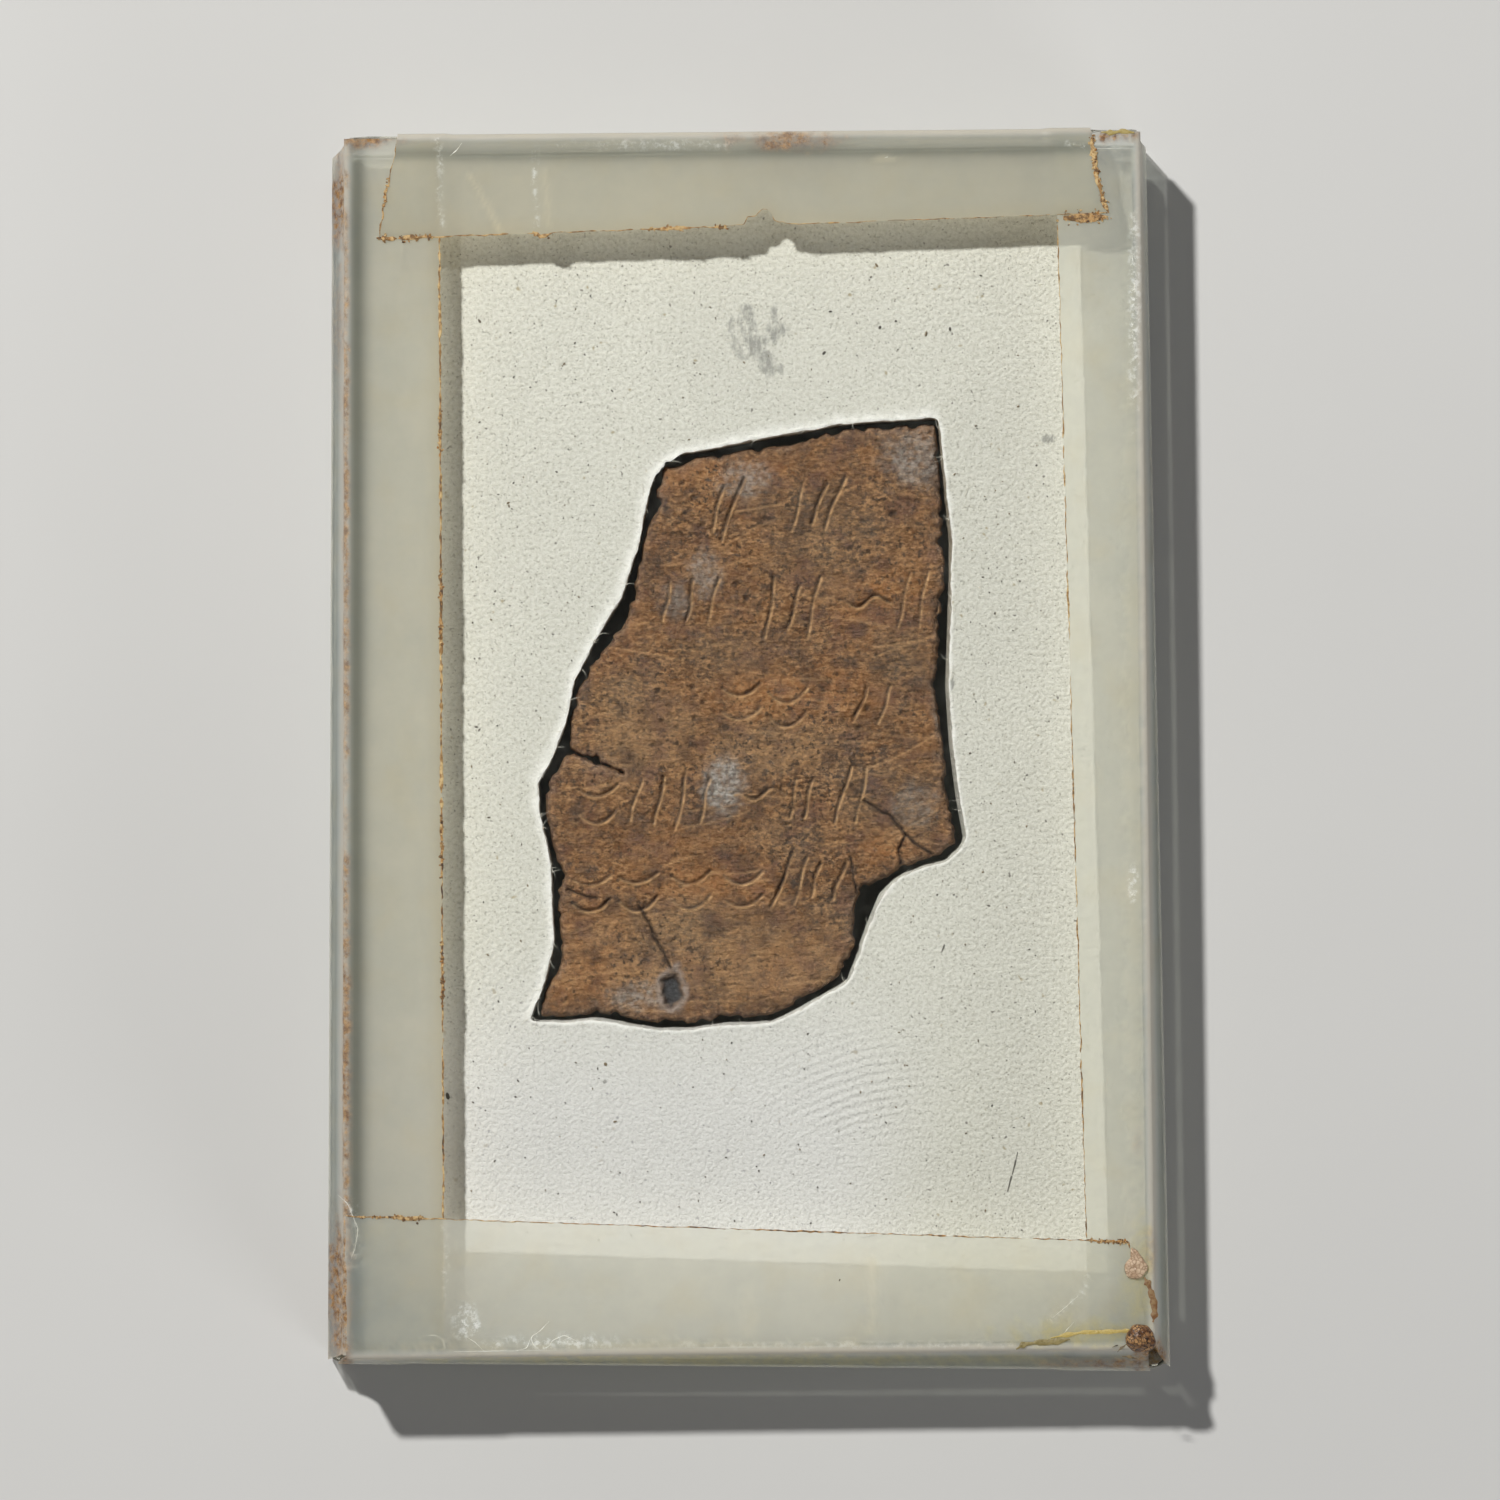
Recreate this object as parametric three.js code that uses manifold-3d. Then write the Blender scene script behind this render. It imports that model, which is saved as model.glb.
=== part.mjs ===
// A piece of inscribed lead sheet in its old glass mount. The fragment lies in a cut-out of a
// thick soft card between two hand-cut glass plates, and four strips of clear tape are folded
// over the edges to bind the package.
// Millimetres. The mount lies on its back: +X runs to the right and +Y to the top as one looks at
// the fragment, +Z from the back plate to the cover. The origin is the middle of the underside.
import * as THREE from 'three';
import { mergeVertices } from 'three/addons/utils/BufferGeometryUtils.js';
import Module from 'manifold-3d';

const wasm = await Module();
wasm.setup();

const half = 0.5;

// Lead fragment
const fragmentWidth = 25.9;
const fragmentHeight = 37.5;
const fragmentThickness = 1.4;
const fragmentRise = 1.25;
const dentHeight = 0.12;
const dentLength = 11;
const dentGrid = 1.9;
const brokenEdgeDraw = 0.15;
const cutOverrun = 1;

// Cover plate: its greatest width and height, with the corners where the cutter left them
const coverWidth = 50.7;
const coverHeight = 76.8;
const coverThickness = 3.2;
const coverCornerShares = {
  bottomLeft: [-0.5, -0.5],
  bottomRight: [0.5, -0.492],
  topRight: [0.481, 0.5],
  topLeft: [-0.498, 0.494],
};
const coverCornerRadii = { bottomLeft: 0.8, bottomRight: 1.3, topRight: 0.4, topLeft: 0.5 };

// Back plate: cut a little larger than the cover and set a little low against it
const backExtraWidth = 2.2;
const backExtraHeight = 0.3;
const backThickness = 3;
const backDrop = 0.85;
const backCornerShares = {
  bottomLeft: [-0.5, -0.494],
  bottomRight: [0.5, -0.5],
  topRight: [0.471, 0.5],
  topLeft: [-0.495, 0.491],
};
const backCornerRadii = { bottomLeft: 0.6, bottomRight: 1.2, topRight: 0.5, topLeft: 0.9 };

// Card between the plates
const cardMargin = 0.4;
const airUnderCover = 0.4;
const cutFlare = 0.15;

// Clear tape
const tapeThickness = 0.1;
const tapeLayers = 2;
const tapeSeat = 0.05;
const tapeEndInset = 0.15;
const tapeRamp = 0.6;
const overlapSeat = 0.3;

const leftTape = { coverFoot: 6.3, coverHead: 5.9, backFoot: 4.3, backHead: 4.9 };
const rightTape = { coverFoot: 4.1, coverHead: 5.3, backFoot: 6.5, backHead: 5.4 };
const topTape = {
  coverStart: 6.5,
  coverEnd: 5.2,
  backStart: 4.2,
  backEnd: 5.5,
  // distances of its two torn ends from the corners, at the free edge, half way in and at the fold
  startInsets: [2, 2.5, 3.2],
  endInsets: [2.2, 2.9, 3.2],
  backStartInsets: [4.1, 3.7],
  backEndInsets: [3.7, 3.3],
  // a bite torn out of its free edge on the cover
  biteAt: 25.9,
  biteWidth: 2.4,
  biteDepth: 1.05,
};
const bottomTape = {
  coverStart: 8.9,
  coverEnd: 6.6,
  backStart: 2.1,
  backEnd: 4.3,
  startInsets: [0.15, 0.15, 0.15],
  endInsets: [1.5, 0.8, 0.3],
  backStartInsets: [0.3, 0.5],
  backEndInsets: [1.4, 1.1],
};

// Crusts of aged adhesive
const crustSeat = 0.1;
const upperCrustLength = 5.9;
const upperCrustInset = 1.2;
const lowerCrustLength = 3.9;
const lowerCrustInset = 0.3;
const dropSize = { width: 1.5, length: 2.1, height: 0.35 };
const dropInset = { x: 1.15, y: 5.3 };
const lumpSize = { width: 2.1, length: 1.9, height: 0.7 };
const lumpInset = { x: 1.25, y: 1.3 };

// Heights of the package, from the lowest tape upwards
const cardThickness = fragmentThickness + dentHeight + airUnderCover;
const backUnderside = tapeLayers * tapeThickness;
const backFace = backUnderside + backThickness;
const cardFace = backFace + cardThickness;
const coverFace = cardFace + coverThickness;

const backWidth = coverWidth + backExtraWidth;
const backHeight = coverHeight + backExtraHeight;
const cover = cornersOf(coverWidth, coverHeight, coverCornerShares, 0);
const back = cornersOf(backWidth, backHeight, backCornerShares, -backDrop);
const card = cardCorners();

function cornersOf(width, height, shares, rise) {
  const placed = Object.entries(shares).map(([name, [x, y]]) => (
    [name, new THREE.Vector2(x * width, y * height + rise)]));
  return Object.fromEntries(placed);
}

// Each corner of the card stops short of whichever plate is smaller there.
function cardCorners() {
  const placed = Object.entries(cover).map(([name, corner]) => {
    const other = back[name];
    const x = Math.min(Math.abs(corner.x), Math.abs(other.x)) - cardMargin;
    const y = Math.min(Math.abs(corner.y), Math.abs(other.y)) - cardMargin;
    return [name, new THREE.Vector2(Math.sign(corner.x) * x, Math.sign(corner.y) * y)];
  });
  return Object.fromEntries(placed);
}

// Boolean solids

function solidOf(geometry) {
  geometry.deleteAttribute('normal');
  geometry.deleteAttribute('uv');
  const merged = mergeVertices(geometry);
  return new wasm.Manifold(new wasm.Mesh({
    numProp: 3,
    vertProperties: merged.attributes.position.array,
    triVerts: Uint32Array.from(merged.index.array),
  }));
}

function geometryOf(solid) {
  const { vertProperties, triVerts } = solid.getMesh();
  const geometry = new THREE.BufferGeometry();
  geometry.setAttribute('position', new THREE.BufferAttribute(vertProperties, 3));
  geometry.setIndex(new THREE.BufferAttribute(triVerts, 1));
  return geometry;
}

// A closed skin through rings of equal point count, with a cap at each end. The caps are given
// as triangles of ring places, wound so that the first cap faces back along the loft.
function loft(rings, capTriangles) {
  const count = rings[0].length;
  const last = (rings.length - 1) * count;
  const index = [];
  for (let ring = 0; ring + 1 < rings.length; ring += 1) {
    for (let place = 0; place < count; place += 1) {
      const next = (place + 1) % count;
      const low = ring * count;
      const high = low + count;
      index.push(low + place, low + next, high + next);
      index.push(low + place, high + next, high + place);
    }
  }
  for (const [a, b, c] of capTriangles) {
    index.push(a, c, b);
    index.push(last + a, last + b, last + c);
  }
  const geometry = new THREE.BufferGeometry();
  const places = rings.flat().flatMap((point) => point.toArray());
  geometry.setAttribute('position', new THREE.Float32BufferAttribute(places, 3));
  geometry.setIndex(index);
  return facingOut(geometry);
}

function facingOut(geometry) {
  const { position } = geometry.attributes;
  const index = geometry.index.array;
  const [a, b, c] = [new THREE.Vector3(), new THREE.Vector3(), new THREE.Vector3()];
  let volume = 0;
  for (let at = 0; at < index.length; at += 3) {
    a.fromBufferAttribute(position, index[at]);
    b.fromBufferAttribute(position, index[at + 1]);
    c.fromBufferAttribute(position, index[at + 2]);
    volume += a.dot(b.cross(c));
  }
  if (volume < 0) {
    geometry.setIndex(Array.from(index).reverse());
  }
  return geometry;
}

// Upright walls between two outlines that share their point order.
function wallsBetween(lower, upper, lowerHeight, upperHeight) {
  if (THREE.ShapeUtils.isClockWise(lower)) {
    return wallsBetween([...lower].reverse(), [...upper].reverse(), lowerHeight, upperHeight);
  }
  const rings = [
    lower.map((point) => new THREE.Vector3(point.x, point.y, lowerHeight)),
    upper.map((point) => new THREE.Vector3(point.x, point.y, upperHeight)),
  ];
  return loft(rings, THREE.ShapeUtils.triangulateShape(lower, []));
}

// An outline moved outwards along the mean normal of each point's two sides.
function grown(outline, distance) {
  const turn = THREE.ShapeUtils.isClockWise(outline) ? -1 : 1;
  return outline.map((point, place) => {
    const before = outline.at(place - 1);
    const after = outline[(place + 1) % outline.length];
    const along = after.clone().sub(before).normalize();
    return new THREE.Vector2(point.x + turn * along.y * distance, point.y - turn * along.x * distance);
  });
}

// Lead fragment

// Its broken outline, clockwise from the upper left corner, in shares of its width and height
const fragmentOutlineShares = [
  [-0.209, 0.425], [-0.195, 0.430], [-0.159, 0.436], [-0.125, 0.443], [-0.071, 0.445],
  [-0.008, 0.455], [0.052, 0.460], [0.098, 0.463], [0.130, 0.470], [0.171, 0.480],
  [0.214, 0.488], [0.285, 0.493], [0.364, 0.495], [0.447, 0.500], [0.456, 0.425],
  [0.466, 0.327], [0.469, 0.242], [0.456, 0.137], [0.449, 0.061], [0.461, -0.019],
  [0.476, -0.100], [0.488, -0.168], [0.500, -0.195], [0.461, -0.217], [0.408, -0.227],
  [0.338, -0.254], [0.301, -0.262], [0.268, -0.277], [0.253, -0.304], [0.260, -0.331],
  [0.253, -0.368], [0.229, -0.406], [0.200, -0.430], [0.130, -0.461], [0.052, -0.483],
  [-0.025, -0.492], [-0.142, -0.500], [-0.234, -0.497], [-0.280, -0.492], [-0.372, -0.482],
  [-0.449, -0.487], [-0.500, -0.487], [-0.495, -0.453], [-0.461, -0.416], [-0.449, -0.368],
  [-0.454, -0.341], [-0.459, -0.282], [-0.447, -0.262], [-0.459, -0.232], [-0.476, -0.195],
  [-0.488, -0.152], [-0.488, -0.115], [-0.473, -0.083], [-0.449, -0.059], [-0.435, -0.041],
  [-0.430, 0.003], [-0.418, 0.044], [-0.389, 0.088], [-0.350, 0.120], [-0.318, 0.152],
  [-0.287, 0.190], [-0.272, 0.227], [-0.265, 0.276], [-0.241, 0.329], [-0.217, 0.354],
  [-0.219, 0.388],
];

// The open crack runs in from the left edge and narrows to its tip.
const crackShares = [
  [-0.480, -0.045], [-0.430, -0.046], [-0.401, -0.056], [-0.367, -0.064], [-0.333, -0.075],
  [-0.304, -0.083],
];
const crackMouth = 0.5;
const crackTip = 0.12;

const pitShare = [-0.188, -0.446];
const pitSize = { width: 1.5, length: 2.1, depth: 0.55 };

function onFragment([x, y]) {
  return new THREE.Vector2(x * fragmentWidth, y * fragmentHeight + fragmentRise);
}

// Shallow dents in the upper face: two long waves that cross at a slant.
function dentAt(x, y) {
  const turn = (2 * Math.PI) / dentLength;
  const across = Math.sin(turn * (x + half * y));
  const along = Math.cos(turn * (half * y - x * half));
  return dentHeight * across * along;
}

function leadSheet() {
  const width = fragmentWidth + cutOverrun;
  const height = fragmentHeight + cutOverrun;
  const across = Math.ceil(width / dentGrid);
  const along = Math.ceil(height / dentGrid);
  const sheet = new THREE.BoxGeometry(width, height, fragmentThickness, across, along, 1);
  sheet.translate(0, fragmentRise, backFace + fragmentThickness * half);
  const { position } = sheet.attributes;
  for (let at = 0; at < position.count; at += 1) {
    if (position.getZ(at) > backFace + fragmentThickness * half) {
      const dent = dentAt(position.getX(at), position.getY(at));
      position.setZ(at, position.getZ(at) + dent);
    }
  }
  return solidOf(sheet);
}

// The torn edge stands furthest out at mid thickness and draws in towards both faces.
function brokenOutline() {
  const shape = new THREE.Shape(fragmentOutlineShares.map(onFragment));
  const lip = fragmentThickness * half;
  const outline = new THREE.ExtrudeGeometry(shape, {
    depth: 0,
    bevelThickness: lip + dentHeight,
    bevelSize: brokenEdgeDraw,
    bevelOffset: -brokenEdgeDraw,
    bevelSegments: 1,
  });
  outline.translate(0, 0, backFace + lip);
  return solidOf(outline);
}

function crackSlit() {
  const line = crackShares.map(onFragment);
  const sides = line.map((point, place) => {
    const before = line[Math.max(place - 1, 0)];
    const after = line[Math.min(place + 1, line.length - 1)];
    const across = after.clone().sub(before).normalize().rotateAround(new THREE.Vector2(), Math.PI / 2);
    const reach = THREE.MathUtils.lerp(crackMouth, crackTip, place / (line.length - 1)) * half;
    return [point.clone().addScaledVector(across, reach), point.clone().addScaledVector(across, -reach)];
  });
  const outline = sides.map((pair) => pair[0]).concat(sides.map((pair) => pair[1]).reverse());
  return solidOf(wallsBetween(outline, outline, backFace - cutOverrun, cardFace + cutOverrun));
}

function corrodedPit() {
  const pit = new THREE.SphereGeometry(1, 14, 10);
  pit.scale(pitSize.width * half, pitSize.length * half, pitSize.depth);
  const place = onFragment(pitShare);
  pit.translate(place.x, place.y, backFace + fragmentThickness);
  return solidOf(pit);
}

function leadFragment() {
  const sheet = leadSheet().intersect(brokenOutline());
  return geometryOf(sheet.subtract(crackSlit()).subtract(corrodedPit()));
}

// Card with the cut-out. The knife followed the fragment by hand and leaned outwards, so the
// hole is a little wider at the face; shares are of the fragment's width and height.
const cutOutShares = [
  [-0.214, 0.445], [-0.110, 0.453], [0.028, 0.473], [0.222, 0.497], [0.456, 0.508],
  [0.466, 0.425], [0.485, 0.302], [0.481, 0.168], [0.476, 0.061], [0.485, -0.034],
  [0.502, -0.126], [0.519, -0.190], [0.515, -0.200], [0.476, -0.227], [0.415, -0.237],
  [0.352, -0.257], [0.316, -0.284], [0.285, -0.336], [0.260, -0.384], [0.238, -0.428],
  [0.168, -0.456], [0.105, -0.480], [0.052, -0.497], [-0.064, -0.500], [-0.149, -0.508],
  [-0.219, -0.508], [-0.294, -0.500], [-0.372, -0.490], [-0.447, -0.495], [-0.527, -0.495],
  [-0.488, -0.428], [-0.469, -0.363], [-0.473, -0.304], [-0.476, -0.235], [-0.485, -0.205],
  [-0.505, -0.147], [-0.507, -0.100], [-0.476, -0.061], [-0.442, -0.003], [-0.420, 0.071],
  [-0.372, 0.137], [-0.306, 0.210], [-0.265, 0.296], [-0.241, 0.381],
];

function mountCard() {
  const corners = Object.values(card);
  const board = solidOf(wallsBetween(corners, corners, backFace, cardFace));
  const foot = cutOutShares.map(onFragment);
  const flarePerHeight = cutFlare / cardThickness;
  const head = grown(foot, cutFlare + flarePerHeight * cutOverrun);
  const toe = grown(foot, -flarePerHeight * cutOverrun);
  const hole = solidOf(wallsBetween(toe, head, backFace - cutOverrun, cardFace + cutOverrun));
  return geometryOf(board.subtract(hole));
}

// Glass plates: hand-cut quadrilaterals with knocked corners.
function glassPlate(plate, radii, thickness, underside) {
  const shape = new THREE.Shape();
  const corners = Object.values(plate);
  const reaches = Object.values(radii);
  corners.forEach((corner, place) => {
    const before = corners.at(place - 1).clone().sub(corner).normalize();
    const after = corners[(place + 1) % corners.length].clone().sub(corner).normalize();
    const start = corner.clone().addScaledVector(before, reaches[place]);
    const end = corner.clone().addScaledVector(after, reaches[place]);
    if (place === 0) {
      shape.moveTo(start.x, start.y);
    } else {
      shape.lineTo(start.x, start.y);
    }
    shape.quadraticCurveTo(corner.x, corner.y, end.x, end.y);
  });
  const glass = new THREE.ExtrudeGeometry(shape, { depth: thickness, bevelEnabled: false, curveSegments: 6 });
  glass.translate(0, 0, underside);
  return glass;
}

// Tapes. Each strip sits on the cover, turns down over both plates' edges and ends on the back.
// A section across it has seven points on the sticky side and seven on the outer side. Where it
// crosses another strip it is lifted by one thickness on both faces.
function edgeLine(from, to, outwardTurn) {
  const direction = to.clone().sub(from);
  const length = direction.length();
  direction.normalize();
  const outward = new THREE.Vector2(-direction.y, direction.x).multiplyScalar(outwardTurn);
  const start = from.clone().addScaledVector(outward, tapeSeat);
  return { start, direction, outward, length };
}

function edgeOf(from, to, outwardTurn) {
  return {
    cover: edgeLine(cover[from], cover[to], outwardTurn),
    card: edgeLine(card[from], card[to], outwardTurn),
    back: edgeLine(back[from], back[to], outwardTurn),
  };
}

function onEdge(line, along, reach, height) {
  const point = line.start.clone().addScaledVector(line.direction, along);
  point.addScaledVector(line.outward, -reach);
  return new THREE.Vector3(point.x, point.y, height);
}

function tapeSection(edge, station) {
  const lift = station.lifted ? tapeThickness : 0;
  const coverLevel = coverFace + lift;
  const backLevel = backUnderside - lift;
  const [coverFree, coverMiddle, coverFold] = station.coverAlongs;
  const [backFree, backFold] = station.backAlongs;
  const rows = [
    [edge.cover, coverFree, station.coverReach, coverLevel, 0, 1],
    [edge.cover, coverMiddle, station.coverReach * half, coverLevel, 0, 1],
    [edge.cover, coverFold, 0, coverLevel, 1, 1],
    [edge.cover, coverFold, 0, cardFace, 1, 0],
    [edge.back, backFold, 0, backFace, 1, 0],
    [edge.back, backFold, 0, backLevel, 1, -1],
    [edge.back, backFree, station.backReach, backLevel, 0, -1],
  ];
  const inner = rows.map(([line, along, reach, height]) => onEdge(line, along, reach, height));
  const outer = rows.map(([line, along, reach, height, out, up]) => (
    onEdge(line, along, reach - out * tapeThickness, height + up * tapeThickness)));
  return inner.concat(outer.reverse());
}

function foldedTape(edge, stations) {
  const rings = stations.map((station) => tapeSection(edge, station));
  const count = rings[0].length;
  const caps = [];
  for (let place = 0; place + 1 < count / 2; place += 1) {
    const opposite = count - 1 - place;
    caps.push([place, place + 1, opposite - 1]);
    caps.push([place, opposite - 1, opposite]);
  }
  return loft(rings, caps);
}

const edges = {
  left: edgeOf('bottomLeft', 'topLeft', 1),
  right: edgeOf('bottomRight', 'topRight', -1),
  top: edgeOf('topLeft', 'topRight', 1),
  bottom: edgeOf('bottomLeft', 'bottomRight', -1),
};

// A side strip runs the full height and lies flat on the glass.
function sideTape(edge, tape) {
  const coverFar = edge.cover.length - tapeEndInset;
  const backFar = edge.back.length - tapeEndInset;
  return foldedTape(edge, [
    {
      coverAlongs: [tapeEndInset, tapeEndInset, tapeEndInset],
      backAlongs: [tapeEndInset, tapeEndInset],
      coverReach: tape.coverFoot,
      backReach: tape.backFoot,
    },
    {
      coverAlongs: [coverFar, coverFar, coverFar],
      backAlongs: [backFar, backFar],
      coverReach: tape.coverHead,
      backReach: tape.backHead,
    },
  ]);
}

// The bite in the top strip's free edge, in shares of its width and depth
const biteShares = [[-0.5, 0], [-0.1, 0.57], [0.1, 1], [0.32, 0.8], [0.5, 0]];

// A cross strip climbs over the side strips at both ends. The side strips' reach says where.
function crossTape(edge, tape, leftReach, rightReach) {
  const coverLength = edge.cover.length;
  const backLength = edge.back.length;
  const between = (coverAlong, backAlong, lifted) => ({
    coverAlongs: [coverAlong, coverAlong, coverAlong],
    backAlongs: [backAlong, backAlong],
    coverReach: THREE.MathUtils.lerp(tape.coverStart, tape.coverEnd, coverAlong / coverLength),
    backReach: THREE.MathUtils.lerp(tape.backStart, tape.backEnd, backAlong / backLength),
    lifted,
  });
  const leftCover = leftReach.cover + overlapSeat;
  const leftBack = leftReach.back + overlapSeat;
  const rightCover = coverLength - rightReach.cover - overlapSeat;
  const rightBack = backLength - rightReach.back - overlapSeat;
  const bite = tape.biteDepth ? biteShares : [];
  const bitten = bite.map(([widthShare, depthShare]) => {
    const along = tape.biteAt + widthShare * tape.biteWidth;
    const station = between(along, along * backLength / coverLength, false);
    station.coverReach -= depthShare * tape.biteDepth;
    return station;
  });
  return foldedTape(edge, [
    {
      coverAlongs: tape.startInsets,
      backAlongs: tape.backStartInsets,
      coverReach: tape.coverStart,
      backReach: tape.backStart,
      lifted: true,
    },
    between(leftCover, leftBack, true),
    between(leftCover + tapeRamp, leftBack + tapeRamp, false),
    ...bitten,
    between(rightCover - tapeRamp, rightBack - tapeRamp, false),
    between(rightCover, rightBack, true),
    {
      coverAlongs: tape.endInsets.map((inset) => coverLength - inset),
      backAlongs: tape.backEndInsets.map((inset) => backLength - inset),
      coverReach: tape.coverEnd,
      backReach: tape.backEnd,
      lifted: true,
    },
  ]);
}

// Crusts of aged adhesive

// A crust that fills the groove between the plates' left edges, inside the tape. Each row of the
// shape gives a share of its length, of the groove's width and of the groove's height there.
function grooveCrust(start, length, shape) {
  const { cover: coverLine, card: cardLine, back: backLine } = edges.left;
  const rings = shape.map(([lengthShare, widthShare, heightShare]) => {
    const along = start + lengthShare * length;
    const height = backFace + heightShare * cardThickness;
    const footInner = onEdge(cardLine, along, -crustSeat, backFace);
    const footOuter = onEdge(backLine, along, crustSeat, backFace);
    const headLimit = onEdge(coverLine, along, crustSeat, cardFace);
    const headInner = onEdge(cardLine, along, -crustSeat, height);
    const headOuter = footOuter.clone().lerp(headLimit, heightShare);
    headOuter.z = height;
    return [
      footInner,
      footInner.clone().lerp(footOuter, widthShare),
      headInner.clone().lerp(headOuter, widthShare),
      headInner,
    ];
  });
  return loft(rings, [[0, 1, 2], [0, 2, 3]]);
}

const flakeShape = [
  [0, 0.15, 0.15], [0.12, 0.75, 0.5], [0.4, 0.9, 0.8], [0.62, 1, 0.9], [0.86, 0.8, 0.6], [1, 0.1, 0.12],
];
const stubShape = [
  [0, 0.5, 0.4], [0.1, 0.95, 0.8], [0.5, 1, 0.9], [0.8, 0.8, 0.75], [1, 0.4, 0.3],
];

// A crust that dried as a lumpy dome on the tape, flat underneath.
const lumpShare = 0.16;

function domeCrust(size, inset) {
  const dome = new THREE.SphereGeometry(1, 20, 14);
  const { position } = dome.attributes;
  const point = new THREE.Vector3();
  for (let at = 0; at < position.count; at += 1) {
    point.fromBufferAttribute(position, at);
    const slantWave = Math.sin(4 * point.x + 3 * point.y);
    const crossWave = Math.sin(5 * point.y - 2 * point.x + 3 * point.z);
    point.multiplyScalar(1 + lumpShare * slantWave * crossWave);
    position.setXYZ(at, point.x, point.y, point.z);
  }
  dome.scale(size.width * half, size.length * half, size.height);
  const seat = coverFace + tapeLayers * tapeThickness;
  const corner = cover.bottomRight;
  dome.translate(corner.x - inset.x, corner.y + inset.y, seat);
  const below = new THREE.BoxGeometry(coverWidth, coverWidth, size.height + cutOverrun);
  below.translate(corner.x - inset.x, corner.y + inset.y, seat - (size.height + cutOverrun) * half);
  return geometryOf(solidOf(dome).subtract(solidOf(below)));
}

// Assembly

function piece(name, geometry, colour, roughness, opacity = 1) {
  const material = new THREE.MeshStandardMaterial({ color: colour, roughness, metalness: 0 });
  material.transparent = opacity < 1;
  material.opacity = opacity;
  const mesh = new THREE.Mesh(geometry, material);
  mesh.name = name;
  return mesh;
}

const glassColour = '#b9c4b4';
const tapeColour = '#c9c8b2';
const crustColour = '#8a5a2c';
const leftReachAtHead = { cover: leftTape.coverHead, back: leftTape.backHead };
const leftReachAtFoot = { cover: leftTape.coverFoot, back: leftTape.backFoot };
const rightReachAtHead = { cover: rightTape.coverHead, back: rightTape.backHead };
const rightReachAtFoot = { cover: rightTape.coverFoot, back: rightTape.backFoot };
const topTapeGeometry = crossTape(edges.top, topTape, leftReachAtHead, rightReachAtHead);
const bottomTapeGeometry = crossTape(edges.bottom, bottomTape, leftReachAtFoot, rightReachAtFoot);
const upperCrustStart = edges.left.cover.length - upperCrustInset - upperCrustLength;
const upperCrust = grooveCrust(upperCrustStart, upperCrustLength, flakeShape);
const lowerCrust = grooveCrust(lowerCrustInset, lowerCrustLength, stubShape);

const mount = new THREE.Group();
mount.add(
  piece('lead_fragment', leadFragment(), '#735a43', 0.75),
  piece('mount_card', mountCard(), '#d3d0c3', 0.95),
  piece('front_glass', glassPlate(cover, coverCornerRadii, coverThickness, cardFace), glassColour, 0.05, 0.35),
  piece('back_glass', glassPlate(back, backCornerRadii, backThickness, backUnderside), glassColour, 0.05, 0.35),
  piece('tape_left', sideTape(edges.left, leftTape), tapeColour, 0.4, 0.6),
  piece('tape_right', sideTape(edges.right, rightTape), tapeColour, 0.4, 0.6),
  piece('tape_top', topTapeGeometry, tapeColour, 0.4, 0.6),
  piece('tape_bottom', bottomTapeGeometry, tapeColour, 0.4, 0.6),
  piece('adhesive_upper_left', upperCrust, crustColour, 0.8),
  piece('adhesive_lower_left', lowerCrust, crustColour, 0.8),
  piece('adhesive_right_edge', domeCrust(dropSize, dropInset), crustColour, 0.8),
  piece('adhesive_corner', domeCrust(lumpSize, lumpInset), crustColour, 0.8),
);

const bounds = new THREE.Box3().setFromObject(mount);
const middle = bounds.getCenter(new THREE.Vector3());
mount.position.set(-middle.x, -middle.y, -bounds.min.z);

export default mount;
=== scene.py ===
import math

import bmesh
import bpy
import numpy as np
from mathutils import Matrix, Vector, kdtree


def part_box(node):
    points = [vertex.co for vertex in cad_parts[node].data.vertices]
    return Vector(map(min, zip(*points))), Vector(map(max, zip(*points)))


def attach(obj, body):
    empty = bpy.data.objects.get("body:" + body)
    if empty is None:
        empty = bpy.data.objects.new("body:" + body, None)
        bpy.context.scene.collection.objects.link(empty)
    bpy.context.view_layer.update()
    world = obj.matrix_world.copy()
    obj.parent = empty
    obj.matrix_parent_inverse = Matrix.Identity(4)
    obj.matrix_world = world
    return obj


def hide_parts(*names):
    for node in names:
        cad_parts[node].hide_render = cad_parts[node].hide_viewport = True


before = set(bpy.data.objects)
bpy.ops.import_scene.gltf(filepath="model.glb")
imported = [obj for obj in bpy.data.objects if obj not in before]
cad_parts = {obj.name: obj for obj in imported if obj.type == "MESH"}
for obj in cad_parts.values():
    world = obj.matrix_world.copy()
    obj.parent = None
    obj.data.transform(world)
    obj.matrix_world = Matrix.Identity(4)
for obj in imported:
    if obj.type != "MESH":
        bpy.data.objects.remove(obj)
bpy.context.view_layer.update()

# Back plate
# A pane of old, faintly green window glass, scored and snapped by hand a little larger than the
# cover. It lies underneath and carries the fragment and the card, held on by the folded tapes.
MM = 0.001
weld = 1e-7


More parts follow.
